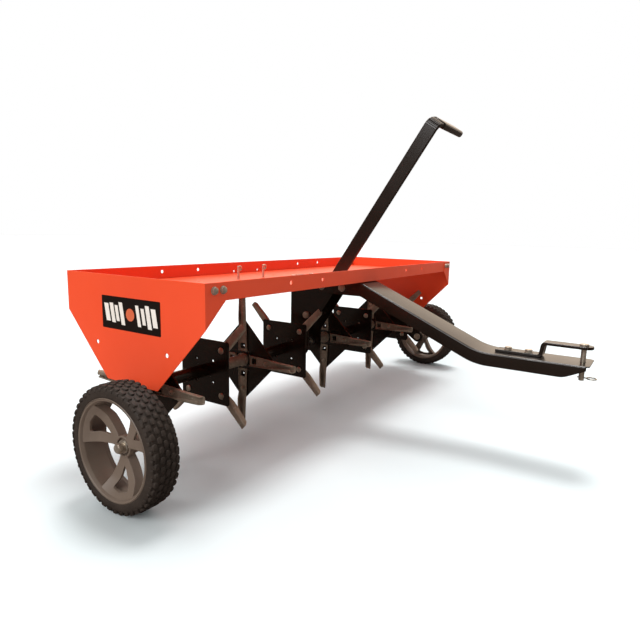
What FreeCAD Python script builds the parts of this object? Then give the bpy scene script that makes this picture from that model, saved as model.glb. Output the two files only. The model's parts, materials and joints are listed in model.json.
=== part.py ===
"""Tow-behind core aerator: a parametric FreeCAD model of every piece, in millimetres.

Every piece is drawn about the lift axle, which runs along X through (0, 0, 0) of the drawing
frame: +X to the machine's left, -Y forwards to the hitch, +Z up.  Each piece is then placed so
that the row's origin is under the middle of the machine, on the ground.
"""
import FreeCAD, Part
import math
import os
import Sketcher

Vector = FreeCAD.Vector
Rotation = FreeCAD.Rotation

# Driving dimensions, all in millimetres or degrees: cell alias and value.
DIMENSIONS = [
    # where the lift axle stands in the row's frame
    ("axle_forward", 301.02), ("axle_height", 197),
    # weight tray and its end plates
    ("end_face", 654), ("tray_front", 222.7), ("tray_rear", 218.7), ("tray_top", 245),
    ("tray_floor", 208), ("sheet", 2), ("plate_knee", 156), ("plate_foot", 12), ("foot_half", 82.5),
    ("flange_wide", 56), ("wall_hole_radius", 4.5), ("wall_hole_near", 250), ("wall_hole_far", 382),
    ("wall_hole_height", 229), ("drain_radius", 5), ("drain_far", 366), ("drain_near", 51),
    ("drain_back", 92), ("relief_radius", 3), ("relief_left", 18), ("relief_right", 96),
    ("relief_height", 217), ("slot_half", 7.5), ("slot_front", 131), ("slot_back", 21),
    ("flange_bolt_out", 630), ("flange_bolt_in", 606), ("flange_bolt_height", 229.5),
    ("decal_front", 98), ("decal_back", 91), ("decal_low", 128), ("decal_high", 199), ("decal_thick", 0.5),
    ("decal_round", 2), ("tray_gap", 0.2),
    # hangers that carry the axle
    ("hanger_thick", 4), ("hanger_in", 33), ("hanger_back", 33), ("hanger_half", 34), ("hanger_low", 34),
    ("hanger_waist", 44), ("hanger_step", 168), ("hanger_front", 185), ("ear_wide", 26), ("ear_front", 60),
    ("hanger_round", 26), ("hanger_notch", 118), ("ear_bolt_half", 48.6), ("ear_bolt_front", 36),
    ("ear_bolt_back", 16.5), ("brace_half", 64), ("brace_high", 80), ("brace_low", 56),
    ("side_hole_at", 113.5), ("side_hole_height", 92), ("side_hole", 4.5),
    # axle, its bushings and its wheel arms
    ("axle_radius", 9.5), ("running", 0.05), ("bush_radius", 11.8), ("bush_flange", 18), ("bush_lip", 2),
    ("bush_long", 8),
    ("arm_face", 664), ("arm_thick", 8), ("arm_half", 22), ("wheel_forward", 100), ("wheel_drop", 70),
    ("spindle_radius", 8), ("wheel_middle", 751.5),
    # lift handle and its linkage
    ("pivot_forward", 27), ("pivot_height", 95), ("lean", 34), ("bar_half", 19), ("bar_thick", 10),
    ("bar_long", 655), ("bar_tail", 24), ("bend_radius", 24), ("grip_long", 168),
    ("cover_start", 22), ("cover_half", 9), ("cover_over", 2), ("crank_long", 40),
    ("crank_angle", 45), ("crank_half", 13), ("link_half", 10), ("link_thick", 6), ("link_pin", 5),
    ("pivot_radius", 8), ("pin_head", 3), ("pin_nut", 4), ("pivot_head", 7), ("pivot_nut", 9),
    ("pivot_shoulder", 2.5), ("pivot_spacer_wall", 3), ("crank_boss", 4), ("side_gap", 0.5),
    ("guide_thick", 3), ("guide_half", 24), ("guide_over", 14), ("notch_deep", 8), ("notch_front", 129),
    ("notch_back", 77),
    # spoon gangs
    ("gang_in", 43.5), ("gang_out", 642), ("sleeve_wall", 2), ("star_1", 608.2), ("star_2", 438.2),
    ("star_3", 292.8), ("star_4", 113.4), ("plate_side", 158.7), ("plate_thick", 4), ("spacer_wall", 3),
    ("collar_radius", 18), ("collar_wide", 9), ("spoon_base", 24), ("spoon_tip", 175),
    ("spoon_half", 15), ("spoon_tip_half", 9), ("spoon_deep", 15), ("spoon_wall", 3),
    ("square_hole", 15), ("square_at", 38), ("spoon_bolt_at", 80), ("spoon_bolt", 3.5),
    ("spoon_nut", 6.4), ("spoon_nut_high", 5), ("dome_ball", 10.5), ("dome_angle", 36),
    ("small_hole_at", 28), ("small_hole", 3.5), ("plate_corner", 6),
    # wheels
    ("tyre_radius", 127), ("tyre_half", 30.5), ("shoulder", 8), ("bead_radius", 101.7), ("barrel_radius", 98),
    ("barrel_wall", 6), ("lip_wide", 2.5), ("hub_radius", 19), ("hub_in", 45), ("hub_out", 2),
    ("hub_face", 3), ("hub_ring", 22), ("wheel_bush_radius", 11), ("fan_centre", 34), ("fan_half", 31),
    ("fan_thick", 9), ("dish_low", 2), ("dish_low_radius", 39), ("dish_knee", 6.5),
    ("dish_knee_radius", 69), ("dish_high", 17), ("dish_high_radius", 84), ("dish_edge", 26),
    ("window_inner", 40), ("window_outer", 83), ("window_half", 15), ("window_apex", 3),
    ("spindle_head", 6), ("spindle_over", 3), ("spindle_head_radius", 12.6), ("spindle_wall", 4),
    ("washer_thick", 2),
    # tongue and hitch
    ("tongue_half", 50), ("tongue_sheet", 3), ("tongue_rear", 70), ("tongue_knee", 215),
    ("tongue_bend", 559), ("tongue_tip", 811), ("tongue_high", 57), ("tongue_deep", 33),
    ("tongue_chin", 757), ("tongue_heel", 552), ("tongue_nose", 8), ("chin_round", 45),
    ("knee_round", 60), ("bend_round", 150), ("wall_step", 217), ("wall_low", 168), ("tip_chamfer", 10),
    ("fold_round", 4), ("wall_tube", 8),
    ("side_bolt_front", 157), ("side_bolt_back", 88), ("side_bolt_drop", 20), ("top_bolt_at", 170),
    ("top_bolt_half", 24),
    ("strap_half", 19), ("strap_thick", 7), ("strap_start", 592), ("strap_rise", 703), ("strap_end", 812),
    ("strap_bend_out", 10), ("strap_bend_in", 4), ("jaw_high", 32), ("hitch_pin_radius", 6),
    ("hitch_pin_at", 791), ("hitch_pin_low", 13),
    ("hitch_bolt_front", 669), ("hitch_bolt_back", 620), ("hitch_play", 0.5), ("pin_head_radius", 10.2),
    ("pin_head_high", 4), ("clip_wire", 1.5), ("clip_ring", 10.5), ("clip_height", 20),
    # fasteners: shank radius, head radius to its corners, head height
    ("hole_play", 0.25), ("bolt_over", 3), ("small_bolt", 4), ("small_hex", 7.5), ("small_head", 5),
    ("big_bolt", 5), ("big_hex", 9.5),
    ("big_head", 6.5), ("axle_hex", 11), ("axle_nut", 16), ("stud_radius", 3.5), ("stud_high", 247),
    ("stud_back", 60), ("stud_right", 248), ("stud_left", 140), ("stud_under", 8), ("eye_ring", 5.6),
    ("eye_wire", 2.45),
]


class Size:
    """A size worked out from the sheet: its number and the expression that gives it."""

    def __init__(self, number, text):
        self.number = number
        self.text = text

    @staticmethod
    def of(value):
        return value if isinstance(value, Size) else Size(float(value), f"{float(value):.6f}")

    def __add__(self, other):
        other = Size.of(other)
        return Size(self.number + other.number, f"({self.text} + {other.text})")

    def __sub__(self, other):
        other = Size.of(other)
        return Size(self.number - other.number, f"({self.text} - {other.text})")

    def __mul__(self, other):
        other = Size.of(other)
        return Size(self.number * other.number, f"({self.text} * {other.text})")

    def __truediv__(self, other):
        other = Size.of(other)
        return Size(self.number / other.number, f"({self.text} / {other.text})")

    def __neg__(self):
        return Size(-self.number, f"(0 - {self.text})")

    def __radd__(self, other):
        return Size.of(other) + self

    def __rsub__(self, other):
        return Size.of(other) - self

    def __rmul__(self, other):
        return Size.of(other) * self


def cosine(angle):
    return Size(math.cos(math.radians(angle.number)), f"cos({angle.text} * 1 deg)")


def sine(angle):
    return Size(math.sin(math.radians(angle.number)), f"sin({angle.text} * 1 deg)")


class Sizes:
    """The spreadsheet of driving dimensions, read as attributes."""

    def __init__(self, doc):
        cells = doc.addObject("Spreadsheet::Sheet", "Sizes")
        for row, (alias, value) in enumerate(DIMENSIONS, start=1):
            cells.set(f"A{row}", alias)
            cells.set(f"B{row}", str(value))
            cells.setAlias(f"B{row}", alias)
            setattr(self, alias, Size(float(value), f"Sizes.{alias}"))


doc = FreeCAD.newDocument("core_aerator")
s = Sizes(doc)
doc.recompute()
subparts = []


def bind(thing, path, size):
    """Give one property of an object a size and the expression behind it."""
    thing.setExpression(path, Size.of(size).text)


def new_name(kind):
    """A name that no object of the document has yet."""
    return f"{kind}_{len(doc.Objects)}"


# ---- sketches ----------------------------------------------------------------------------------

def new_sketch(body, plane, offset):
    """An empty sketch on one of the body's origin planes, moved along its normal."""
    sketch = body.newObject("Sketcher::SketchObject", new_name("sketch"))
    base = [item for item in body.Origin.OriginFeatures if item.Role == plane][0]
    sketch.AttachmentSupport = [(base, "")]
    sketch.MapMode = "FlatFace"
    bind(sketch, "AttachmentOffset.Base.z", offset)
    return sketch


def fix_point(sketch, edge, end, across, up):
    """Hold one point of a sketch at its two coordinates."""
    for kind, size in (("DistanceX", Size.of(across)), ("DistanceY", Size.of(up))):
        if abs(size.number) < 1e-9:
            axis = -2 if kind == "DistanceX" else -1
            sketch.addConstraint(Sketcher.Constraint("PointOnObject", edge, end, axis))
            continue
        index = sketch.addConstraint(Sketcher.Constraint(kind, -1, 1, edge, end, size.number))
        bind(sketch, f"Constraints[{index}]", size)


def draw_outline(sketch, points):
    """A closed outline of straight lines through the points."""
    first = sketch.GeometryCount
    count = len(points)
    spots = [Vector(Size.of(a).number, Size.of(b).number, 0) for a, b in points]
    for index in range(count):
        sketch.addGeometry(Part.LineSegment(spots[index], spots[(index + 1) % count]))
    for index in range(count):
        following = first + (index + 1) % count
        sketch.addConstraint(Sketcher.Constraint("Coincident", first + index, 2, following, 1))
    for index, (across, up) in enumerate(points):
        fix_point(sketch, first + index, 1, across, up)


def draw_circles(sketch, centres, radius):
    """Circles of one radius at the centres."""
    radius = Size.of(radius)
    for across, up in centres:
        centre = Vector(Size.of(across).number, Size.of(up).number, 0)
        edge = sketch.addGeometry(Part.Circle(centre, Vector(0, 0, 1), radius.number))
        fix_point(sketch, edge, 3, across, up)
        index = sketch.addConstraint(Sketcher.Constraint("Radius", edge, radius.number))
        bind(sketch, f"Constraints[{index}]", radius)


def draw_tongue_shape(sketch, base_half, base_at, tip_half, tip_at):
    """A tapered outline along +up that ends in a half circle."""
    centre_at = tip_at - tip_half
    corners = [(-base_half, base_at), (base_half, base_at), (tip_half, centre_at), (-tip_half, centre_at)]
    spots = [Vector(a.number, b.number, 0) for a, b in corners]
    for start, end in ((0, 1), (1, 2), (3, 0)):
        sketch.addGeometry(Part.LineSegment(spots[start], spots[end]))
    circle = Part.Circle(Vector(0, centre_at.number, 0), Vector(0, 0, 1), tip_half.number)
    sketch.addGeometry(Part.ArcOfCircle(circle, 0.0, math.pi))
    sketch.addConstraint(Sketcher.Constraint("Coincident", 0, 2, 1, 1))
    sketch.addConstraint(Sketcher.Constraint("Coincident", 2, 2, 0, 1))
    sketch.addConstraint(Sketcher.Constraint("Coincident", 1, 2, 3, 1))
    sketch.addConstraint(Sketcher.Constraint("Coincident", 2, 1, 3, 2))
    fix_point(sketch, 0, 1, *corners[0])
    fix_point(sketch, 0, 2, *corners[1])
    fix_point(sketch, 3, 3, 0, centre_at)
    fix_point(sketch, 3, 1, *corners[2])
    index = sketch.addConstraint(Sketcher.Constraint("DistanceY", -1, 1, 3, 2, centre_at.number))
    bind(sketch, f"Constraints[{index}]", centre_at)


# ---- features ----------------------------------------------------------------------------------

def new_body(label):
    """An empty body with a label of its own."""
    body = doc.addObject("PartDesign::Body", new_name("body"))
    body.Label = label
    return body


def pad(body, plane, start, length, draw, *details):
    """Add a slab from start, length thick, along the plane's normal."""
    sketch = new_sketch(body, plane, start)
    draw(sketch, *details)
    feature = body.newObject("PartDesign::Pad", new_name("pad"))
    feature.Profile = sketch
    bind(feature, "Length", length)
    doc.recompute()
    return feature


def cut(body, plane, middle, length, draw, *details):
    """Cut a slab of the given length centred on the offset plane."""
    sketch = new_sketch(body, plane, middle)
    draw(sketch, *details)
    before = body.Shape.Volume
    feature = body.newObject("PartDesign::Pocket", new_name("pocket"))
    feature.Profile = sketch
    feature.SideType = "Symmetric"
    bind(feature, "Length", length)
    doc.recompute()
    if body.Shape.Volume >= before:
        raise ValueError(f"a cut in {body.Label} removes nothing")
    return feature


def turn(body, points):
    """Add a solid turned about X from an outline of (along, radius) points."""
    sketch = new_sketch(body, "XY_Plane", 0)
    draw_outline(sketch, points)
    feature = body.newObject("PartDesign::Revolution", new_name("revolution"))
    feature.Profile = sketch
    feature.ReferenceAxis = (sketch, ["H_Axis"])
    feature.Angle = 360
    doc.recompute()
    return feature


def round_edges(body, radius, wanted):
    """Fillet the straight edges whose middle point passes the test."""
    base = body.Tip
    names = []
    for index, edge in enumerate(base.Shape.Edges, start=1):
        along = edge.tangentAt(edge.FirstParameter)
        if isinstance(edge.Curve, Part.Line) and wanted(edge.CenterOfMass, along):
            names.append(f"Edge{index}")
    fillet = body.newObject("PartDesign::Fillet", new_name("fillet"))
    fillet.Base = (base, names)
    bind(fillet, "Radius", radius)
    doc.recompute()
    return fillet


def repeat(body, features, count):
    """Repeat features evenly round the X axis."""
    pattern = body.newObject("PartDesign::PolarPattern", new_name("pattern"))
    pattern.Originals = features
    pattern.Axis = ([item for item in body.Origin.OriginFeatures if item.Role == "X_Axis"][0], [""])
    pattern.Angle = 360
    pattern.Occurrences = count
    body.Tip = pattern
    doc.recompute()
    return pattern


# ---- placing -----------------------------------------------------------------------------------

def stand(thing, across=0, forward=0, up=0):
    """Make a piece a sub-part, placed by its distance from the lift axle's middle."""
    bind(thing, "Placement.Base.x", across)
    bind(thing, "Placement.Base.y", s.axle_forward + forward)
    bind(thing, "Placement.Base.z", s.axle_height + up)
    subparts.append(thing)
    return thing


def copy_at(thing, across, forward, up, rotation=Rotation()):
    """A linked copy of a form at a point of the drawing frame."""
    link = doc.addObject("App::Link", new_name("copy"))
    link.LinkedObject = thing
    link.LinkTransform = False
    link.Placement = FreeCAD.Placement(Vector(), rotation)
    bind(link, "Placement.Base.x", across)
    bind(link, "Placement.Base.y", forward)
    bind(link, "Placement.Base.z", up)
    return link


def group(label, copies):
    """One sub-part made of separate solids."""
    compound = doc.addObject("Part::Compound", new_name("group"))
    compound.Label = label
    compound.Links = copies
    return stand(compound)


UP = Rotation()
FORWARDS = Rotation(Vector(1, 0, 0), 90)
REARWARDS = Rotation(Vector(1, 0, 0), -90)
LEFTWARDS = Rotation(Vector(0, 1, 0), 90)
RIGHTWARDS = Rotation(Vector(0, 1, 0), -90)
SIDES = (("right", -1), ("left", 1))


def rectangle(low_a, high_a, low_b, high_b):
    return [(low_a, low_b), (high_a, low_b), (high_a, high_b), (low_a, high_b)]


def slab_start(sign, face, thick):
    """Where a slab starts along X, so that its face away from the middle is at sign * face."""
    return face - thick if sign > 0 else -face


def cylinder(radius, height, start=0):
    """A plain round bar along Z."""
    bar = doc.addObject("Part::Cylinder", new_name("bar"))
    bind(bar, "Radius", radius)
    bind(bar, "Height", height)
    bind(bar, "Placement.Base.z", start)
    return bar


def hexagon(radius, height, start):
    """A hexagonal bar along Z."""
    prism = doc.addObject("Part::Prism", new_name("hexagon"))
    prism.Polygon = 6
    bind(prism, "Circumradius", radius)
    bind(prism, "Height", height)
    bind(prism, "Placement.Base.z", start)
    return prism


def fuse(*shapes):
    joined = doc.addObject("Part::MultiFuse", new_name("fuse"))
    joined.Shapes = list(shapes)
    return joined


def bore(base, radius, height, start):
    """The base with a round hole along Z."""
    cutter = cylinder(radius, height, start)
    result = doc.addObject("Part::Cut", new_name("cut"))
    result.Base = base
    result.Tool = cutter
    return result


def hex_bolt(radius, hexa, head, grip):
    """A bolt whose head stands on Z = 0 and points up, with its nut a grip below."""
    nut_high = head + 1
    reach = grip + nut_high + s.bolt_over
    shank = cylinder(radius, reach, -reach)
    bolt = fuse(shank, hexagon(hexa, head, 0))
    nut = bore(hexagon(hexa, nut_high, -(grip + nut_high)), radius + s.running, nut_high + 2,
               -(grip + nut_high + 1))
    pair = doc.addObject("Part::Compound", new_name("bolt"))
    pair.Links = [bolt, nut]
    return pair


# ---- weight tray -------------------------------------------------------------------------------

def make_tray():
    """The U-shaped tray: floor, front wall and rear wall bent from one sheet."""
    body = new_body("tray_pan")
    front = -(s.tray_front - s.sheet)
    rear = s.tray_rear - s.sheet
    inner_floor = s.tray_floor + s.sheet
    section = [(front, s.tray_floor), (rear, s.tray_floor), (rear, s.tray_top), (rear - s.sheet, s.tray_top),
               (rear - s.sheet, inner_floor), (front + s.sheet, inner_floor), (front + s.sheet, s.tray_top),
               (front, s.tray_top)]
    inside = s.end_face - s.sheet - s.tray_gap
    pad(body, "YZ_Plane", -inside, inside * 2, draw_outline, section)
    spots = [(sign * across, s.wall_hole_height) for sign in (-1, 1)
             for across in (s.wall_hole_near, s.wall_hole_far)]
    cut(body, "XZ_Plane", 0, s.tray_front * 3, draw_circles, spots, s.wall_hole_radius)
    reliefs = [(s.relief_left, s.relief_height), (-s.relief_right, s.relief_height)]
    cut(body, "XZ_Plane", -rear, s.sheet * 6, draw_circles, reliefs, s.relief_radius)
    flange_bolts = [(sign * across, s.flange_bolt_height) for sign in (-1, 1)
                    for across in (s.flange_bolt_in, s.flange_bolt_out)]
    cut(body, "XZ_Plane", 0, s.tray_front * 3, draw_circles, flange_bolts, s.small_bolt + s.hole_play)
    drains = [(sign * across, s.drain_back) for sign in (-1, 1) for across in (s.drain_far, s.drain_near)]
    cut(body, "XY_Plane", s.tray_floor, s.sheet * 6, draw_circles, drains, s.drain_radius)
    slot = rectangle(-s.slot_half, s.slot_half, -s.slot_front, s.slot_back)
    cut(body, "XY_Plane", s.tray_floor, s.sheet * 6, draw_outline, slot)
    floor_bolts = [(sign * s.ear_bolt_half, y) for sign in (-1, 1)
                   for y in (-s.ear_bolt_front, s.ear_bolt_back)]
    floor_bolts += [(sign * s.top_bolt_half, -s.top_bolt_at) for sign in (-1, 1)]
    cut(body, "XY_Plane", s.tray_floor, s.sheet * 6, draw_circles, floor_bolts, s.small_bolt + s.hole_play)
    studs = [(-s.stud_right, s.stud_back), (-s.stud_left, s.stud_back)]
    cut(body, "XY_Plane", s.tray_floor, s.sheet * 6, draw_circles, studs, s.stud_radius)
    return stand(body)


def make_end_plate(side, sign):
    """One end of the tray: a tapered plate with a flange folded in at the front and the rear."""
    body = new_body(f"end_plate_{side}")
    outline = [(-s.tray_front, s.tray_top), (-s.tray_front, s.plate_knee), (-s.foot_half, s.plate_foot),
               (s.foot_half, s.plate_foot), (s.tray_rear, s.plate_knee), (s.tray_rear, s.tray_top)]
    pad(body, "YZ_Plane", slab_start(sign, s.end_face, s.sheet), s.sheet, draw_outline, outline)
    edge = s.end_face * sign
    inner = (s.end_face - s.flange_wide) * sign
    fold = (s.end_face - s.sheet) * sign
    flange = [(edge, s.tray_top), (inner, s.tray_top), (inner, s.tray_floor), (fold, s.plate_knee),
              (edge, s.plate_knee)]
    pad(body, "XZ_Plane", s.tray_front - s.sheet, s.sheet, draw_outline, flange)
    pad(body, "XZ_Plane", -s.tray_rear, s.sheet, draw_outline, flange)
    bolts = [(sign * across, s.flange_bolt_height) for across in (s.flange_bolt_in, s.flange_bolt_out)]
    cut(body, "XZ_Plane", 0, s.tray_front * 3, draw_circles, bolts, s.small_bolt + s.hole_play)
    holes = [(y * s.side_hole_at, s.side_hole_height) for y in (-1, 1)]
    cut(body, "YZ_Plane", s.end_face * sign, s.sheet * 6, draw_circles, holes, s.side_hole)
    return stand(body)


def make_labels():
    """A plain label stuck on each end plate."""
    form = new_body("label_form")
    outline = rectangle(-s.decal_front, s.decal_back, s.decal_low, s.decal_high)
    pad(form, "YZ_Plane", 0, s.decal_thick, draw_outline, outline)
    round_edges(form, s.decal_round, lambda at, along: abs(along.x) > 0.9)
    group("end_labels", [copy_at(form, s.end_face, 0, 0), copy_at(form, -(s.end_face + s.decal_thick), 0, 0)])


def flange_bolts():
    """Two bolts and nuts at each corner of the tray."""
    form = hex_bolt(s.small_bolt, s.small_hex, s.small_head, s.sheet * 2)
    copies = []
    for sign in (-1, 1):
        for across in (s.flange_bolt_in, s.flange_bolt_out):
            copies.append(copy_at(form, sign * across, -s.tray_front, s.flange_bolt_height, FORWARDS))
            copies.append(copy_at(form, sign * across, s.tray_rear, s.flange_bolt_height, REARWARDS))
    return copies


def make_tray_studs():
    """Two hold-down studs in the tray floor, each rolled over into an eye at the top."""
    shank = cylinder(s.stud_radius, s.stud_high - s.tray_floor + s.stud_under, s.tray_floor - s.stud_under)
    eye = doc.addObject("Part::Torus", new_name("eye"))
    bind(eye, "Radius1", s.eye_ring)
    bind(eye, "Radius2", s.eye_wire)
    eye.Placement = FreeCAD.Placement(Vector(), FORWARDS)
    bind(eye, "Placement.Base.x", s.eye_ring)
    bind(eye, "Placement.Base.z", s.stud_high - s.stud_radius * 2)
    stud = fuse(shank, eye)
    copies = [copy_at(stud, -across, s.stud_back, 0) for across in (s.stud_right, s.stud_left)]
    group("tray_studs", copies)


def make_handle_guide():
    """The slotted plate on the tray floor whose side notch holds the lift handle."""
    body = new_body("handle_guide")
    outline = rectangle(-s.guide_half, s.guide_half, -(s.slot_front + s.guide_over),
                        s.slot_back + s.guide_over)
    pad(body, "XY_Plane", s.tray_floor + s.sheet, s.guide_thick, draw_outline, outline)
    depth = s.tray_floor + s.sheet + s.guide_thick / 2
    slot = rectangle(-s.slot_half, s.slot_half, -s.slot_front, s.slot_back)
    cut(body, "XY_Plane", depth, s.guide_thick * 3, draw_outline, slot)
    notch = rectangle(s.slot_half - 1, s.slot_half + s.notch_deep, -s.notch_front, -s.notch_back)
    cut(body, "XY_Plane", depth, s.guide_thick * 3, draw_outline, notch)
    return stand(body)


# ---- hangers, axle and wheel arms --------------------------------------------------------------

def make_centre_hanger(side, sign):
    """A tapered plate under the middle of the tray that carries the axle and the handle pivot."""
    body = new_body(f"centre_hanger_{side}")
    top = s.tray_floor
    below_tongue = top - s.tongue_sheet - s.side_gap
    outline = [(s.hanger_back, top), (-s.ear_front, top), (-s.ear_front, below_tongue),
               (-s.hanger_front, below_tongue), (-s.hanger_front, s.hanger_step),
               (-s.hanger_notch, s.hanger_step), (-s.hanger_half, s.hanger_waist),
               (-s.hanger_half, -s.hanger_low), (s.hanger_back, -s.hanger_low)]
    pad(body, "YZ_Plane", slab_start(sign, s.hanger_in + s.hanger_thick, s.hanger_thick), s.hanger_thick,
        draw_outline, outline)
    round_edges(body, s.hanger_round, lambda at, along: abs(along.x) > 0.9 and at.z < 0)
    ear = rectangle(sign * s.hanger_in, sign * (s.hanger_in + s.ear_wide), -s.ear_front, s.hanger_back)
    pad(body, "XY_Plane", top - s.hanger_thick, s.hanger_thick, draw_outline, ear)
    middle = sign * (s.hanger_in + s.hanger_thick / 2)
    cut(body, "YZ_Plane", middle, s.hanger_thick * 3, draw_circles, [(0, 0)], s.bush_radius)
    cut(body, "YZ_Plane", middle, s.hanger_thick * 3, draw_circles, [(-s.pivot_forward, s.pivot_height)],
        s.pivot_radius)
    side_bolts = [(-back, top - s.side_bolt_drop) for back in (s.side_bolt_front, s.side_bolt_back)]
    cut(body, "YZ_Plane", middle, s.hanger_thick * 3, draw_circles, side_bolts, s.big_bolt + s.hole_play)
    ears = [(sign * s.ear_bolt_half, y) for y in (-s.ear_bolt_front, s.ear_bolt_back)]
    cut(body, "XY_Plane", top, s.hanger_thick * 3, draw_circles, ears, s.small_bolt + s.hole_play)
    return stand(body)


def make_end_hanger(side, sign):
    """A plate welded inside the end plate, that carries the axle's outer end."""
    body = new_body(f"end_hanger_{side}")
    outline = [(-s.brace_half, s.brace_high), (-s.brace_half, s.brace_low), (-s.hanger_half, -s.hanger_low),
               (s.hanger_half, -s.hanger_low), (s.brace_half, s.brace_low), (s.brace_half, s.brace_high)]
    face = s.end_face - s.sheet
    pad(body, "YZ_Plane", slab_start(sign, face, s.hanger_thick), s.hanger_thick, draw_outline, outline)
    round_edges(body, s.hanger_round, lambda at, along: abs(along.x) > 0.9 and at.z < 0)
    cut(body, "YZ_Plane", sign * face, s.hanger_thick * 3, draw_circles, [(0, 0)], s.bush_radius)
    return stand(body)


def hanger_bolts():
    """Bolts that hold the centre hangers' ears to the tray floor."""
    form = hex_bolt(s.small_bolt, s.small_hex, s.small_head, s.sheet + s.hanger_thick)
    return [copy_at(form, sign * s.ear_bolt_half, y, s.tray_floor + s.sheet, UP)
            for sign in (-1, 1) for y in (-s.ear_bolt_front, s.ear_bolt_back)]


def make_axle_bushings():
    """Flanged bushings that the lift axle turns in, one in each hanger."""
    form = new_body("axle_bushing_form")
    inner = s.axle_radius + s.running
    seat = s.hanger_thick / 2
    turn(form, [(-s.bush_long, inner), (seat + s.bush_lip, inner), (seat + s.bush_lip, s.bush_flange),
                (seat, s.bush_flange), (seat, s.bush_radius), (-s.bush_long, s.bush_radius)])
    places = [(s.hanger_in + seat, 1), (s.end_face - s.sheet - seat, -1)]
    copies = []
    for sign in (-1, 1):
        for at, outward in places:
            turned = Rotation() if sign * outward > 0 else Rotation(Vector(0, 0, 1), 180)
            copies.append(copy_at(form, sign * at, 0, 0, turned))
    group("axle_bushings", copies)


def make_lift_axle():
    """The round bar that both gangs turn on; its ends carry the wheel arms."""
    body = new_body("lift_axle")
    reach = s.arm_face + s.arm_thick
    turn(body, [(-reach, 0), (reach, 0), (reach, s.axle_radius), (-reach, s.axle_radius)])
    return stand(body)


def draw_arm(sketch, half, along, up):
    """A straight bar outline from the origin to a point, with square ends half a width past each."""
    length = math.hypot(Size.of(along).number, Size.of(up).number)
    unit_a = along / length
    unit_b = up / length
    corners = [(-unit_a * half + unit_b * half, -unit_b * half - unit_a * half),
               (along + unit_a * half + unit_b * half, up + unit_b * half - unit_a * half),
               (along + unit_a * half - unit_b * half, up + unit_b * half + unit_a * half),
               (-unit_a * half - unit_b * half, -unit_b * half + unit_a * half)]
    draw_outline(sketch, corners)


def make_wheel_arm(side, sign):
    """A flat arm from the axle's end to the wheel spindle."""
    body = new_body(f"wheel_arm_{side}")
    start = slab_start(sign, s.arm_face + s.arm_thick, s.arm_thick)
    pad(body, "YZ_Plane", start, s.arm_thick, draw_arm, s.arm_half, -s.wheel_forward, -s.wheel_drop)
    round_edges(body, s.arm_half - s.side_gap, lambda at, along: abs(along.x) > 0.9)
    middle = sign * (s.arm_face + s.arm_thick / 2)
    cut(body, "YZ_Plane", middle, s.arm_thick * 2, draw_circles, [(0, 0)], s.axle_radius)
    cut(body, "YZ_Plane", middle, s.arm_thick * 2, draw_circles, [(-s.wheel_forward, -s.wheel_drop)],
        s.spindle_radius)
    return stand(body)


def make_axle_crank():
    """The short arm in the middle of the axle that the lift link turns."""
    body = new_body("axle_crank")
    pad(body, "YZ_Plane", -s.bar_thick / 2, s.bar_thick, draw_arm, s.crank_half + s.crank_boss,
        s.crank_long * cosine(s.crank_angle), s.crank_long * sine(s.crank_angle))
    round_edges(body, s.crank_half, lambda at, along: abs(along.x) > 0.9)
    cut(body, "YZ_Plane", 0, s.bar_thick * 2, draw_circles, [(0, 0)], s.axle_radius)
    pin = (s.crank_long * cosine(s.crank_angle), s.crank_long * sine(s.crank_angle))
    cut(body, "YZ_Plane", 0, s.bar_thick * 2, draw_circles, [pin], s.link_pin)
    return stand(body)


# ---- lift handle and link ----------------------------------------------------------------------

def make_lift_handle():
    """The flat lift bar with a cranked foot below its pivot and a side grip on top."""
    body = new_body("handle_bar")
    lean_a = -sine(s.lean)
    lean_b = cosine(s.lean)
    top = s.bar_long - s.bend_radius
    corners = []
    for along, across in ((-s.bar_tail, -1), (top, -1), (top, 1), (-s.bar_tail, 1)):
        corners.append((lean_a * along + lean_b * s.bar_half * across,
                        lean_b * along - lean_a * s.bar_half * across))
    pad(body, "YZ_Plane", -s.bar_thick / 2, s.bar_thick, draw_outline, corners)
    pad(body, "YZ_Plane", -s.bar_thick / 2, s.bar_thick, draw_arm, s.crank_half,
        s.crank_long * cosine(s.crank_angle), s.crank_long * sine(s.crank_angle))
    cut(body, "YZ_Plane", 0, s.bar_thick * 2, draw_circles, [(0, 0)], s.pivot_radius + s.running)
    pin = (s.crank_long * cosine(s.crank_angle), s.crank_long * sine(s.crank_angle))
    cut(body, "YZ_Plane", 0, s.bar_thick * 2, draw_circles, [pin], s.link_pin)
    handle = fuse(body, make_grip(top))
    handle.Label = "lift_handle"
    return stand(handle, 0, -s.pivot_forward, s.pivot_height)


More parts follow.
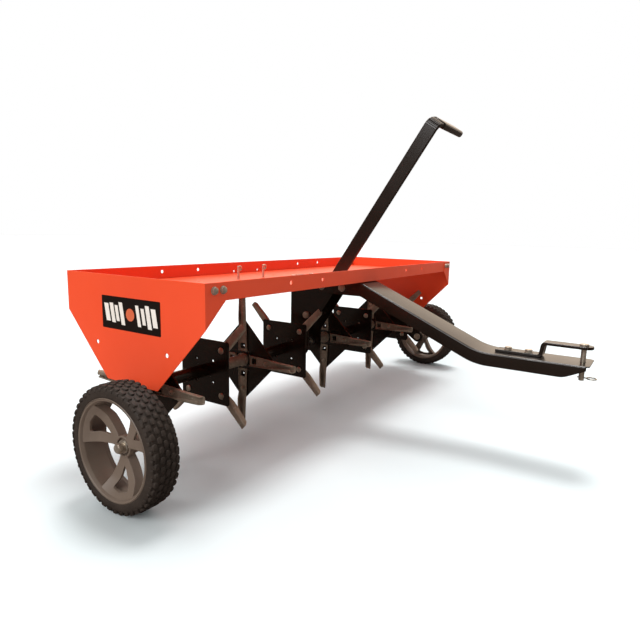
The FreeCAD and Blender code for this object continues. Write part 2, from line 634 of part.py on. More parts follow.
def make_grip(reach):
    """The top of the bar, swept round a bend to the left, with a thick oval grip moulded over it."""
    half = s.bar_half.number
    thick = s.bar_thick.number / 2
    bend = s.bend_radius.number
    corners = [Vector(-thick, -half, 0), Vector(thick, -half, 0),
               Vector(thick, half, 0), Vector(-thick, half, 0)]
    section = Part.makePolygon(corners + corners[:1])
    side = bend - thick
    start = Part.LineSegment(Vector(0, 0, 0), Vector(0, 0, 1)).toShape()
    arc = Part.Arc(Vector(0, 0, 1), Vector(side * (1 - math.sqrt(0.5)), 0, 1 + side * math.sqrt(0.5)),
                   Vector(side, 0, 1 + side)).toShape()
    run = Part.LineSegment(Vector(side, 0, 1 + side), Vector(s.grip_long.number, 0, 1 + side)).toShape()
    grip = Part.Wire([start, arc, run]).makePipeShell([section], True, False)
    deep, wide = s.cover_half.number, half + s.cover_over.number
    cover = Part.makeBox(s.grip_long.number - s.cover_start.number, wide * 2, deep * 2,
                         Vector(s.cover_start.number, -wide, 1 + side - deep))
    cover = cover.makeFillet(deep * 0.7, cover.Edges)
    grip = grip.fuse(cover).removeSplitter()
    feature = doc.addObject("Part::Feature", new_name("grip"))
    feature.Shape = grip
    feature.Placement = FreeCAD.Placement(Vector(), Rotation(Vector(1, 0, 0), s.lean.number))
    bind(feature, "Placement.Base.y", -sine(s.lean) * reach)
    bind(feature, "Placement.Base.z", cosine(s.lean) * reach)
    return feature


def make_lift_link():
    """The flat link from the handle's foot down to the axle crank."""
    body = new_body("lift_link")
    pad(body, "YZ_Plane", s.bar_thick / 2 + s.side_gap, s.link_thick, draw_arm, s.link_half,
        -s.pivot_forward, s.pivot_height)
    round_edges(body, s.link_half - s.side_gap, lambda at, along: abs(along.x) > 0.9)
    ends = [(0, 0), (-s.pivot_forward, s.pivot_height)]
    cut(body, "YZ_Plane", s.bar_thick / 2 + s.link_thick / 2, s.link_thick * 4, draw_circles, ends,
        s.link_pin + s.running)
    return stand(body, 0, s.crank_long * cosine(s.crank_angle), s.crank_long * sine(s.crank_angle))


def make_link_pins():
    """Headed pins in the handle's foot and in the axle crank that hold the link."""
    inner = -(s.bar_thick / 2)
    outer = s.bar_thick / 2 + s.link_thick + 1
    for label, forward, up in (("upper_link_pin", -s.pivot_forward, s.pivot_height),
                               ("lower_link_pin", 0, 0)):
        body = new_body(label)
        wide = s.link_pin + s.pin_head
        turn(body, [(inner - s.pin_head, 0), (outer + s.pin_nut, 0), (outer + s.pin_nut, wide), (outer, wide),
                    (outer, s.link_pin), (inner, s.link_pin), (inner, wide), (inner - s.pin_head, wide)])
        stand(body, 0, s.crank_long * cosine(s.crank_angle) + forward,
              s.crank_long * sine(s.crank_angle) + up)


def make_handle_pivot():
    """The pivot bolt through both hangers, with the spacers beside the handle and in the tongue."""
    body = new_body("handle_pivot")
    out = s.hanger_in + s.hanger_thick
    wide = s.pivot_radius + s.pivot_shoulder
    turn(body, [(-(out + s.pivot_head), 0), (out + s.pivot_nut, 0), (out + s.pivot_nut, wide), (out, wide),
                (out, s.pivot_radius), (-out, s.pivot_radius), (-out, wide), (-(out + s.pivot_head), wide)])
    stand(body, 0, -s.pivot_forward, s.pivot_height)
    form = new_body("pivot_spacer_form")
    beside_bar = s.bar_thick / 2 + s.side_gap
    turn(form, tube_outline(beside_bar, s.hanger_in, s.pivot_radius, s.pivot_radius + s.pivot_spacer_wall))
    copies = [copy_at(form, 0, -s.pivot_forward, s.pivot_height, Rotation(Vector(0, 0, 1), angle))
              for angle in (0, 180)]
    wall_form = new_body("wall_spacer_form")
    turn(wall_form, tube_outline(out, s.tongue_half - s.tongue_sheet, s.big_bolt + s.hole_play, s.wall_tube))
    copies += [copy_at(wall_form, 0, -back, s.tray_floor - s.side_bolt_drop,
                       Rotation(Vector(0, 0, 1), angle))
               for back in (s.side_bolt_front, s.side_bolt_back) for angle in (0, 180)]
    group("pivot_spacers", copies)


# ---- spoon gangs -------------------------------------------------------------------------------

def tube_outline(start, end, inner, outer):
    return [(start, inner), (end, inner), (end, outer), (start, outer)]


def make_gang_tubes(side, sign):
    """The sleeve that a gang turns on, with its painted spacers and its collared bare spacers."""
    inner = s.axle_radius + s.running * 2
    outer = inner + s.sleeve_wall
    sleeve = new_body(f"gang_sleeve_{side}")
    turn(sleeve, tube_outline(sign * s.gang_in, sign * s.gang_out, inner, outer))
    stand(sleeve)
    half = s.plate_thick / 2
    stars = [s.star_4, s.star_3, s.star_2, s.star_1]
    starts = [s.gang_in] + [at + half for at in stars]
    ends = [at - half for at in stars] + [s.gang_out]
    painted, bare = [], []
    for index, (start, end) in enumerate(zip(starts, ends)):
        tube = new_body(f"spacer_form_{side}_{index}")
        dark = index in (1, 3, 4)
        first = start if dark else start + s.collar_wide
        last = end if dark else end - s.collar_wide
        outside = outer + s.spacer_wall + (1 if dark else 0)
        turn(tube, tube_outline(sign * first, sign * last, outer, outside))
        (painted if dark else bare).append(copy_at(tube, 0, 0, 0))
        if dark:
            continue
        for left, right in ((start, first), (last, end)):
            ring = new_body(f"collar_form_{side}_{index}")
            turn(ring, tube_outline(sign * left, sign * right, outer, s.collar_radius))
            bare.append(copy_at(ring, 0, 0, 0))
    group(f"painted_spacers_{side}", painted)
    group(f"bare_spacers_{side}", bare)


def make_spoon_form():
    """One spoon: a tapered open channel with a round tip, its back on the plate at X = 0."""
    body = new_body("spoon_form")
    pad(body, "YZ_Plane", -s.spoon_deep, s.spoon_deep, draw_tongue_shape, s.spoon_half, s.spoon_base,
        s.spoon_tip_half, s.spoon_tip)
    hollow = s.spoon_deep - s.spoon_wall
    cut(body, "YZ_Plane", -s.spoon_wall - hollow / 2, hollow, draw_tongue_shape,
        s.spoon_half - s.spoon_wall, s.spoon_base - 1, s.spoon_tip_half - s.spoon_wall,
        s.spoon_tip - s.spoon_wall)
    low = s.square_at - s.square_hole / 2
    square = rectangle(-s.square_hole / 2, s.square_hole / 2, low, low + s.square_hole)
    cut(body, "YZ_Plane", 0, s.spoon_wall * 3, draw_outline, square)
    cut(body, "YZ_Plane", 0, s.spoon_wall * 3, draw_circles, [(0, s.spoon_bolt_at)],
        s.spoon_bolt + s.hole_play)
    return body


def make_star_plate(label, at, diamond):
    """A square plate with rounded corners; its spoons lie along its diagonals."""
    body = new_body(label)
    half = s.plate_side / 2
    square = rectangle(-half, half, -half, half)
    pad(body, "YZ_Plane", -s.plate_thick / 2, s.plate_thick, draw_outline, square)
    round_edges(body, s.plate_corner, lambda spot, along: abs(along.x) > 0.9)
    hub = s.axle_radius + s.running * 2 + s.sleeve_wall
    cut(body, "YZ_Plane", 0, s.plate_thick * 3, draw_circles, [(0, 0)], hub)
    reach = s.spoon_bolt_at * math.sqrt(0.5)
    holes = cut(body, "YZ_Plane", 0, s.plate_thick * 3, draw_circles, [(reach, reach)],
                s.spoon_bolt + s.hole_play)
    repeat(body, [holes], 4)
    spot = (s.small_hole_at, s.small_hole_at)
    small = cut(body, "YZ_Plane", 0, s.plate_thick * 3, draw_circles, [spot], s.small_hole)
    repeat(body, [small], 4)
    body.Placement = FreeCAD.Placement(Vector(), Rotation(Vector(1, 0, 0), 45 if diamond else 0))
    return stand(body, at)


def carriage_bolt():
    """A spoon's bolt: its nut stands on Z = 0, and its round head is under the plate."""
    grip = s.spoon_wall + s.plate_thick
    shank = cylinder(s.spoon_bolt, grip + s.spoon_nut_high + s.bolt_over, -grip)
    dome = doc.addObject("Part::Sphere", new_name("dome"))
    dome.Angle1 = -90
    bind(dome, "Radius", s.dome_ball)
    bind(dome, "Angle2", -s.dome_angle)
    bind(dome, "Placement.Base.z", s.dome_ball * sine(s.dome_angle) - grip)
    nut = bore(hexagon(s.spoon_nut, s.spoon_nut_high, 0), s.spoon_bolt + s.running, s.spoon_nut_high * 3,
               -s.spoon_nut_high)
    pair = doc.addObject("Part::Compound", new_name("bolt"))
    pair.Links = [fuse(shank, dome), nut]
    return pair


def make_stars():
    """The eight stars: every other one is a diamond with its spoons on the right-hand face."""
    spoon = make_spoon_form()
    bolt = carriage_bolt()
    for side, sign in SIDES:
        bolts = []
        for number, at in enumerate((s.star_1, s.star_2, s.star_3, s.star_4), start=1):
            diamond = (number % 2 == 1) if sign < 0 else (number % 2 == 0)
            make_star_plate(f"star_plate_{side}_{number}", at * sign, diamond)
            face = -1 if diamond else 1
            first = 0 if diamond else 45
            flip = Rotation() if diamond else Rotation(Vector(0, 0, 1), 180)
            spoons = []
            for turn_angle in range(first, first + 360, 90):
                about = Rotation(Vector(1, 0, 0), turn_angle)
                plate_face = at * sign + face * s.plate_thick / 2
                spoons.append(copy_at(spoon, plate_face, 0, 0, about.multiply(flip)))
                angle = math.radians(turn_angle)
                head = plate_face + face * s.spoon_wall
                facing = RIGHTWARDS if diamond else LEFTWARDS
                bolts.append(copy_at(bolt, head, s.spoon_bolt_at * -math.sin(angle),
                                     s.spoon_bolt_at * math.cos(angle), about.multiply(facing)))
            group(f"spoons_{side}_{number}", spoons)
        group(f"spoon_bolts_{side}", bolts)


# ---- wheels ------------------------------------------------------------------------------------

def make_tyre(side, sign):
    """A squat ring with rounded shoulders, seated on the rim's barrel between its lips."""
    body = new_body(f"tyre_{side}")
    half = s.tyre_half
    seat = half - s.lip_wide
    turn(body, [(-half, s.bead_radius), (-half, s.tyre_radius - s.shoulder * 1.5),
                (-half + s.shoulder * 0.4, s.tyre_radius - s.shoulder * 0.5),
                (-half + s.shoulder * 1.2, s.tyre_radius), (half - s.shoulder * 1.2, s.tyre_radius),
                (half - s.shoulder * 0.4, s.tyre_radius - s.shoulder * 0.5),
                (half, s.tyre_radius - s.shoulder * 1.5), (half, s.bead_radius), (seat, s.bead_radius),
                (seat, s.barrel_radius), (-seat, s.barrel_radius), (-seat, s.bead_radius)])
    return stand(body, sign * s.wheel_middle, -s.wheel_forward, -s.wheel_drop)


def make_rim(side, sign):
    """A moulded rim: a dished disc cut into three fans with windows, in a barrel with two lips."""
    body = new_body(f"rim_{side}")
    half = s.tyre_half
    seat = half - s.lip_wide
    inner = s.barrel_radius - s.barrel_wall
    face = [(s.hub_face, s.hub_ring), (s.dish_low, s.hub_ring + s.hub_face), (s.dish_low, s.dish_low_radius),
            (s.dish_knee, s.dish_knee_radius), (s.dish_high, s.dish_high_radius), (s.dish_edge, inner + 1)]
    back = [(along - s.fan_thick, radius) for along, radius in reversed(face[1:])]
    section = [(-s.hub_in, s.wheel_bush_radius), (-s.hub_out, s.wheel_bush_radius),
               (-s.hub_out, s.hub_radius), (s.hub_face, s.hub_radius)] + face + back
    section += [(s.dish_low - s.fan_thick, s.hub_radius), (-s.hub_in, s.hub_radius)]
    turn(body, [(along * sign, radius) for along, radius in section])
    gap = cut(body, "YZ_Plane", 0, s.hub_in * 3, draw_gap, sign)
    window = cut(body, "YZ_Plane", 0, s.hub_in * 3, draw_window, sign)
    repeat(body, [gap, window], 3)
    turn(body, [(-half, inner), (half, inner), (half, s.bead_radius), (seat, s.bead_radius),
                (seat, s.barrel_radius), (-seat, s.barrel_radius), (-seat, s.bead_radius),
                (-half, s.bead_radius)])
    return stand(body, sign * s.wheel_middle, -s.wheel_forward, -s.wheel_drop)


def draw_sector(sketch, sign, spots):
    """An outline of (radius, angle from the first fan's middle) points, the same way on both wheels."""
    points = []
    for radius, angle in spots:
        turned = s.fan_centre + angle
        points.append((cosine(turned) * radius * sign, sine(turned) * radius))
    draw_outline(sketch, points)


def draw_gap(sketch, sign):
    """The open space between two fans, from the hub to beyond the barrel."""
    inner = s.hub_ring + s.washer_thick
    outer = s.tyre_radius
    middle = Size.of(60)
    last = 120 - s.fan_half
    draw_sector(sketch, sign, [(inner, s.fan_half), (inner, middle), (inner, last), (outer, last),
                               (outer, middle), (outer, s.fan_half)])


def draw_window(sketch, sign):
    """A fan's tapered window."""
    draw_sector(sketch, sign, [(s.window_inner, -s.window_apex), (s.window_outer, -s.window_half),
                               (s.window_outer + s.window_apex, Size.of(0)),
                               (s.window_outer, s.window_half), (s.window_inner, s.window_apex)])


def make_wheel_bushing(side, sign):
    """The bushing pressed in the hub."""
    body = new_body(f"wheel_bushing_{side}")
    turn(body, tube_outline(-s.hub_in * sign, -s.hub_out * sign, s.spindle_radius + s.running,
                            s.wheel_bush_radius))
    return stand(body, sign * s.wheel_middle, -s.wheel_forward, -s.wheel_drop)


def make_spindles():
    """Each wheel's spindle bolt, the tube between arm and hub, and the nut and washer outside."""
    bolt = new_body("spindle_form")
    head = s.arm_face - s.spindle_head
    end = s.wheel_middle - s.hub_out + s.axle_nut + s.spindle_over
    turn(bolt, [(head, 0), (end, 0), (end, s.spindle_radius), (s.arm_face, s.spindle_radius),
                (s.arm_face, s.spindle_head_radius), (head, s.spindle_head_radius)])
    tube = new_body("spindle_spacer_form")
    turn(tube, tube_outline(s.arm_face + s.arm_thick, s.wheel_middle - s.hub_in - s.side_gap,
                            s.spindle_radius, s.spindle_radius + s.spindle_wall))
    ends = (Rotation(), Rotation(Vector(0, 0, 1), 180))
    group("wheel_spindles", [copy_at(bolt, 0, -s.wheel_forward, -s.wheel_drop, end) for end in ends])
    spacers = [copy_at(tube, 0, -s.wheel_forward, -s.wheel_drop, end) for end in ends]
    nut = bore(hexagon(s.axle_hex, s.axle_nut, 0), s.spindle_radius, s.axle_nut * 3, -s.axle_nut)
    washer = bore(cylinder(s.axle_hex + s.washer_thick, s.washer_thick, 0), s.spindle_radius,
                  s.axle_nut * 3, -s.axle_nut)
    nuts = []
    for sign, facing in ((-1, RIGHTWARDS), (1, LEFTWARDS)):
        face = s.wheel_middle - s.hub_out + s.side_gap
        spacers.append(copy_at(washer, sign * face, -s.wheel_forward, -s.wheel_drop, facing))
        nuts.append(copy_at(nut, sign * (face + s.washer_thick), -s.wheel_forward, -s.wheel_drop, facing))
    group("wheel_nuts", nuts)
    group("spindle_spacers", spacers)


# ---- tongue and hitch --------------------------------------------------------------------------

def make_tongue():
    """The drawbar: a channel open underneath that dips from the tray to the level hitch end."""
    body = new_body("tongue")
    top = s.tray_floor
    low = s.tongue_high - s.tongue_deep
    side = [(-s.tongue_rear, top), (-s.tongue_knee, top), (-s.tongue_bend, s.tongue_high),
            (-s.tongue_tip, s.tongue_high), (-s.tongue_tip, s.tongue_high - s.tongue_nose),
            (-s.tongue_chin, low), (-s.tongue_heel, low), (-s.wall_step, s.wall_low),
            (-s.tongue_rear, s.wall_low)]
    pad(body, "YZ_Plane", -s.tongue_half, s.tongue_half * 2, draw_outline, side)
    chin = -s.tongue_chin.number
    round_edges(body, s.chin_round, lambda at, along: abs(at.y - chin) < 1 and at.z < 30)
    knee, bend, heel = (-size.number for size in (s.tongue_knee, s.tongue_bend, s.tongue_heel))
    round_edges(body, s.knee_round, lambda at, along: abs(along.x) > 0.9 and abs(at.y - knee) < 1)
    round_edges(body, s.bend_round, lambda at, along: abs(along.x) > 0.9
                and min(abs(at.y - bend), abs(at.y - heel)) < 1)
    fold = s.tongue_half.number
    round_edges(body, s.fold_round, lambda at, along: abs(abs(at.x) - fold) < 0.1 and abs(along.y) > 0.8
                and at.z > s.tongue_high.number - 1 and at.y < bend)
    width = (s.tongue_half - s.tongue_sheet) * 2
    under = top - s.tongue_sheet
    level = s.tongue_high - s.tongue_sheet
    behind = -(s.tongue_rear - s.tongue_deep)
    ahead = -(s.tongue_tip + s.tongue_deep)
    lean_in = s.tongue_sheet / 4
    inside = [(behind, under), (-s.tongue_knee + lean_in, under), (-s.tongue_bend + lean_in, level),
              (ahead, level), (ahead, -s.tongue_high), (behind, -s.tongue_high)]
    cut(body, "YZ_Plane", 0, width, draw_outline, inside)
    wide = s.slot_half + s.crank_boss
    slot = rectangle(-wide, wide, -(s.slot_front + s.crank_boss), behind)
    cut(body, "XY_Plane", top, s.tongue_sheet * 4, draw_outline, slot)
    for sign in (-1, 1):
        edge = sign * s.tongue_half
        corner = [(edge - sign * s.tip_chamfer, -s.tongue_tip - 1), (edge + sign, -s.tongue_tip - 1),
                  (edge + sign, -(s.tongue_tip - s.tip_chamfer))]
        cut(body, "XY_Plane", s.tongue_high, s.tongue_deep * 3, draw_outline, corner)
    cut(body, "XY_Plane", s.tongue_high, s.tongue_sheet * 4, draw_circles, [(0, -s.hitch_pin_at)],
        s.hitch_pin_radius + s.hitch_play)
    bolts = [(0, -s.hitch_bolt_front), (0, -s.hitch_bolt_back)]
    cut(body, "XY_Plane", s.tongue_high, s.tongue_sheet * 4, draw_circles, bolts, s.big_bolt + s.hole_play)
    top_bolts = [(sign * s.top_bolt_half, -s.top_bolt_at) for sign in (-1, 1)]
    cut(body, "XY_Plane", top, s.tongue_sheet * 4, draw_circles, top_bolts, s.small_bolt + s.hole_play)
    side_bolts = [(-back, top - s.side_bolt_drop) for back in (s.side_bolt_front, s.side_bolt_back)]
    cut(body, "YZ_Plane", 0, s.tongue_half * 3, draw_circles, side_bolts, s.big_bolt + s.hole_play)
    return stand(body)


def tongue_bolts():
    """Side bolts into the centre hangers and top bolts through the tray floor."""
    side_form = hex_bolt(s.big_bolt, s.big_hex, s.big_head, s.tongue_half - s.hanger_in)
    top_form = hex_bolt(s.small_bolt, s.small_hex, s.small_head, s.tongue_sheet + s.sheet)
    copies = []
    for sign, facing in ((-1, RIGHTWARDS), (1, LEFTWARDS)):
        for back in (s.side_bolt_front, s.side_bolt_back):
            copies.append(copy_at(side_form, sign * s.tongue_half, -back, s.tray_floor - s.side_bolt_drop,
                                  facing))
        copies.append(copy_at(top_form, sign * s.top_bolt_half, -s.top_bolt_at, s.tray_floor + s.sheet, UP))
    return copies


def make_hitch_strap():
    """The strap that rises from the tongue to form the upper jaw of the hitch."""
    body = new_body("hitch_strap")
    low = s.tongue_high
    high = low + s.jaw_high
    rise = s.strap_rise
    side = [(-s.strap_start, low), (-rise, low), (-(rise + 5), high), (-s.strap_end, high),
            (-s.strap_end, high + s.strap_thick), (-(rise - 3), high + s.strap_thick),
            (-(rise - 8), low + s.strap_thick), (-s.strap_start, low + s.strap_thick)]
    pad(body, "YZ_Plane", -s.strap_half, s.strap_half * 2, draw_outline, side)
    foot, head = -s.strap_rise.number, high.number
    outer = [(foot, low.number), (foot + 3, head + s.strap_thick.number)]
    inner = [(foot + 8, low.number + s.strap_thick.number), (foot - 5, head)]
    for radius, corners in ((s.strap_bend_out, outer), (s.strap_bend_in, inner)):
        round_edges(body, radius, lambda at, along: abs(along.x) > 0.9
                    and min(math.hypot(at.y - y, at.z - z) for y, z in corners) < 1)
    tip = -s.strap_end.number
    round_edges(body, s.strap_half - s.side_gap, lambda at, along: abs(along.z) > 0.9 and abs(at.y - tip) < 1)
    cut(body, "XY_Plane", high, s.strap_thick * 4, draw_circles, [(0, -s.hitch_pin_at)],
        s.hitch_pin_radius + s.hitch_play)
    bolts = [(0, -s.hitch_bolt_front), (0, -s.hitch_bolt_back)]
    cut(body, "XY_Plane", low, s.strap_thick * 4, draw_circles, bolts, s.big_bolt + s.hole_play)
    return stand(body)


def hitch_bolts():
    """Two bolts that hold the strap on the tongue."""
    form = hex_bolt(s.big_bolt, s.big_hex, s.big_head, s.strap_thick + s.tongue_sheet)
    return [copy_at(form, 0, -back, s.tongue_high + s.strap_thick, UP)
            for back in (s.hitch_bolt_front, s.hitch_bolt_back)]


def make_hitch_pin():
    """The drop-in pin through both jaws, with a cross hole for its clip."""
    top = s.tongue_high + s.jaw_high + s.strap_thick
    shank = cylinder(s.hitch_pin_radius, top + 2 - s.hitch_pin_low, s.hitch_pin_low)
    head = cylinder(s.pin_head_radius, s.pin_head_high, top)
    whole = fuse(shank, head)
    hole = doc.addObject("Part::Cylinder", new_name("hole"))
    bind(hole, "Radius", s.clip_wire + 0.3)
    bind(hole, "Height", s.hitch_pin_radius * 4)
    hole.Placement = FreeCAD.Placement(Vector(), FORWARDS)
    bind(hole, "Placement.Base.y", s.hitch_pin_radius * 2)
    bind(hole, "Placement.Base.z", s.clip_height)
    pin = doc.addObject("Part::Cut", new_name("hitch_pin"))
    pin.Base = whole
    pin.Tool = hole
    pin.Label = "hitch_pin"
    return stand(pin, 0, -s.hitch_pin_at)


def make_clip():
    """The wire clip: a straight leg through the pin and a ring in front of it."""
    leg = doc.addObject("Part::Cylinder", new_name("leg"))
    bind(leg, "Radius", s.clip_wire)
    bind(leg, "Height", s.hitch_pin_radius * 3.5)
    leg.Placement = FreeCAD.Placement(Vector(), FORWARDS)
    bind(leg, "Placement.Base.y", s.hitch_pin_radius * 1.5)
    ring = doc.addObject("Part::Torus", new_name("ring"))
    bind(ring, "Radius1", s.clip_ring)
    bind(ring, "Radius2", s.clip_wire)
    bind(ring, "Placement.Base.y", -(s.hitch_pin_radius * 2 + s.clip_wire * 6.5))
    clip = fuse(leg, ring)
    clip.Label = "hitch_clip"
    return stand(clip, 0, -s.hitch_pin_at, s.clip_height)


# ---- the whole machine -------------------------------------------------------------------------

make_tray()
make_labels()
make_tray_studs()
make_handle_guide()
group("frame_bolts", flange_bolts() + hanger_bolts())
make_axle_bushings()
make_lift_axle()
make_axle_crank()
make_lift_handle()
make_lift_link()
make_link_pins()
make_handle_pivot()
make_stars()
make_spindles()
for side, sign in SIDES:
    make_end_plate(side, sign)
    make_centre_hanger(side, sign)
    make_end_hanger(side, sign)
    make_wheel_arm(side, sign)
    make_gang_tubes(side, sign)
    make_tyre(side, sign)
    make_rim(side, sign)
    make_wheel_bushing(side, sign)
make_tongue()
make_hitch_strap()
group("tongue_bolts", tongue_bolts() + hitch_bolts())
make_hitch_pin()
make_clip()

doc.recompute()
failed = [item.Label for item in doc.Objects if "Invalid" in item.State or "Error" in item.State]
failed += [item.Label for item in subparts if item.Shape.isNull() or not item.Shape.isValid()]
if failed:
    raise ValueError(f"failed objects: {failed}")
os.makedirs("parts", exist_ok=True)
for item in subparts:
    item.Shape.exportStep(f"parts/{item.Label}.step")
print(len(subparts), "sub-parts written")
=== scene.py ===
"""Looks of the tow-behind core aerator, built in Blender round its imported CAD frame.

Forms are drawn in millimetres from the middle of the lift axle: +X to the machine's left, -Y
forwards to the hitch, +Z up.  They are scaled to metres when they become pieces.
"""
import json
import math

import bmesh
import bpy
from mathutils import Matrix, Vector


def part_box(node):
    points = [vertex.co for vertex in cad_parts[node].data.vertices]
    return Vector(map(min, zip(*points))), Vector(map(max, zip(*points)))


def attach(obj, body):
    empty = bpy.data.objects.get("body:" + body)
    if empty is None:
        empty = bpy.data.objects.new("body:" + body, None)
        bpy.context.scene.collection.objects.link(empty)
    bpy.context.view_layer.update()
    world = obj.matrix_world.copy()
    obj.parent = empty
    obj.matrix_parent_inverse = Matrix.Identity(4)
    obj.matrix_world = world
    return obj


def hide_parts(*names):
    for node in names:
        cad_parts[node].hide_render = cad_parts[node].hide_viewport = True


MM = 0.001
SIDES = {"right": -1, "left": 1}
STARS = (1, 2, 3, 4)
SAME_POINT = 1e-6               # points nearer than this, in metres, are joined
FLAT = math.radians(0.3)        # faces that turn less than this are one flat face
SHARP = math.radians(32)        # an edge that turns more than this is eased, or stays sharp

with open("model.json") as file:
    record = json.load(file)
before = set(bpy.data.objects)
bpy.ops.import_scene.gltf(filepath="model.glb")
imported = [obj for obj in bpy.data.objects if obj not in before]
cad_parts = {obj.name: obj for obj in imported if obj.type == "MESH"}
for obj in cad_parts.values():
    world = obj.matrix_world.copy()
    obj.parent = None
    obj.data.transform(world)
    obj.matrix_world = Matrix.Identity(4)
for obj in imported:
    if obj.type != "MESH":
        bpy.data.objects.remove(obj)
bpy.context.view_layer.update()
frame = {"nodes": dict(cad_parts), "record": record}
AXLE = sum(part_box("lift_axle"), Vector()) / 2
BODY_OF = {node: body for body, nodes in frame["record"]["behaviour"]["bodies"].items() for node in nodes}


def box(node):
    """A CAD node's lowest and highest corner, in millimetres from the axle."""
    return [(corner - AXLE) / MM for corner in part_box(node)]


def halfway(corners):
    """The middle of a box given by its two corners."""
    return sum(corners, Vector()) / 2


def welded(node):
    """A CAD node's mesh with its split corners joined and its flat faces whole."""
    shape = bmesh.new()
    shape.from_mesh(frame["nodes"][node].data)
    bmesh.ops.remove_doubles(shape, verts=shape.verts, dist=SAME_POINT)
    bmesh.ops.dissolve_limit(shape, angle_limit=FLAT, verts=shape.verts, edges=shape.edges)
    return shape


def solids(node):
    """The boxes of a node's separate solids, in the order the CAD model made them."""
    shape = welded(node)
    found, seen = [], set()
    for start in shape.verts:
        if start in seen:
            continue
        seen.add(start)
        front, spots = [start], []
        while front:
            vertex = front.pop()
            spots.append((vertex.co - AXLE) / MM)
            for edge in vertex.link_edges:
                other = edge.other_vert(vertex)
                if other not in seen:
                    seen.add(other)
                    front.append(other)
        low, high = (Vector([pick(spot[i] for spot in spots) for i in range(3)]) for pick in (min, max))
        found.append((low, high))
    shape.free()
    return found


# ---- materials ---------------------------------------------------------------------------------

SPECK_SIZE = 3                  # a speck is this many times the grain
SPECK_TOPS = (0.62, 0.72)       # only noise above this shows as a speck
SMEAR_SIZE = 0.4                # patches of roughness, as a share of the patches of colour


def linear(red, green, blue):
    """A colour given as 0 to 255 screen values, as the linear RGBA that shaders take."""
    parts = [value / 255 for value in (red, green, blue)]
    return [v / 12.92 if v <= 0.04045 else ((v + 0.055) / 1.055) ** 2.4 for v in parts] + [1.0]


def noise(tree, size, detail):
    """Noise in the object's own space whose lumps are about size metres across."""
    coords = tree.nodes.new("ShaderNodeTexCoord")
    mapping = tree.nodes.new("ShaderNodeMapping")
    mapping.inputs["Scale"].default_value = [1 / size] * 3
    texture = tree.nodes.new("ShaderNodeTexNoise")
    texture.inputs["Scale"].default_value = 1.0
    texture.inputs["Detail"].default_value = detail
    tree.links.new(coords.outputs["Object"], mapping.inputs["Vector"])
    tree.links.new(mapping.outputs["Vector"], texture.inputs["Vector"])
    return texture.outputs["Fac"]


def ranged(tree, value, low, high, start=0.3, end=0.7):
    """The value stretched from start..end to low..high."""
    node = tree.nodes.new("ShaderNodeMapRange")
    for key, number in (("From Min", start), ("From Max", end), ("To Min", low), ("To Max", high)):
        node.inputs[key].default_value = number
    tree.links.new(value, node.inputs["Value"])
    return node.outputs["Result"]


def blended(tree, share, first, second):
    """Two colours mixed by share; either may be a colour or a socket."""
    node = tree.nodes.new("ShaderNodeMix")
    node.data_type = "RGBA"
    tree.links.new(share, node.inputs["Factor"])
    for key, colour in (("A", first), ("B", second)):
        socket = [item for item in node.inputs if item.name == key and item.type == "RGBA"][0]
        if isinstance(colour, bpy.types.NodeSocket):
            tree.links.new(colour, socket)
        else:
            socket.default_value = colour
    return [item for item in node.outputs if item.type == "RGBA"][0]


def surface(name, tones, patch, rough, grain, bump, specular=0.5, metallic=0.0, speck=None):
    """A material of two tones in patches, varied roughness and a fine bump.

    patch and grain are sizes in metres, and bump is the grain's height.
    """
    material = bpy.data.materials.new(name)
    material.use_nodes = True
    tree = material.node_tree
    shader = tree.nodes["Principled BSDF"]
    shader.inputs["Specular IOR Level"].default_value = specular
    shader.inputs["Metallic"].default_value = metallic
    first, second = (linear(*tone) for tone in tones)
    shown = blended(tree, ranged(tree, noise(tree, patch, detail=5.0), 0, 1), first, second)
    if speck:
        spots = ranged(tree, noise(tree, grain * SPECK_SIZE, detail=2.0), 0, 1, *SPECK_TOPS)
        shown = blended(tree, spots, shown, linear(*speck))
    tree.links.new(shown, shader.inputs["Base Color"])
    smears = noise(tree, patch * SMEAR_SIZE, detail=4.0)
    tree.links.new(ranged(tree, smears, *rough), shader.inputs["Roughness"])
    lumps = tree.nodes.new("ShaderNodeBump")
    lumps.inputs["Strength"].default_value = 1.0
    lumps.inputs["Distance"].default_value = bump
    tree.links.new(noise(tree, grain, detail=2.0), lumps.inputs["Height"])
    tree.links.new(lumps.outputs["Normal"], shader.inputs["Normal"])
    return material


# Each slot's two tones, patch, roughness, grain and bump, and what differs from a plain surface.
LOOKS = {
    "orange_paint": (((244, 82, 42), (236, 76, 38)), 0.35, (0.34, 0.44), 0.004, 0.00003,
                     {"specular": 0.3}),
    "black_paint": (((21, 13, 8), (29, 19, 12)), 0.2, (0.19, 0.25), 0.002, 0.000006, {}),
    "zinc_plate": (((214, 204, 190), (180, 168, 152)), 0.012, (0.26, 0.42), 0.0015, 0.00004,
                   {"metallic": 0.8}),
    "spoon_steel": (((168, 152, 134), (136, 121, 106)), 0.03, (0.34, 0.5), 0.002, 0.0001,
                    {"metallic": 0.45, "speck": (190, 176, 160)}),
    "tyre_rubber": (((42, 33, 27), (54, 44, 37)), 0.04, (0.6, 0.78), 0.0012, 0.00015,
                    {"specular": 0.35, "speck": (66, 55, 47)}),
    "rim_plastic": (((110, 95, 83), (118, 103, 91)), 0.05, (0.36, 0.48), 0.0008, 0.00006,
                    {"specular": 0.4}),
    "bushing_plastic": (((48, 44, 40), (58, 52, 47)), 0.02, (0.4, 0.5), 0.001, 0.00005, {}),
    "label_film": (((20, 13, 10), (25, 17, 13)), 0.05, (0.4, 0.5), 0.002, 0.00001,
                   {"specular": 0.2}),
}
FINISH = {slot: surface(slot, *look, **other) for slot, (*look, other) in LOOKS.items()}
LABEL_PALE = surface("label_pale", ((244, 238, 230), (236, 228, 218)), 0.03, (0.3, 0.4), 0.002, 0.00001)
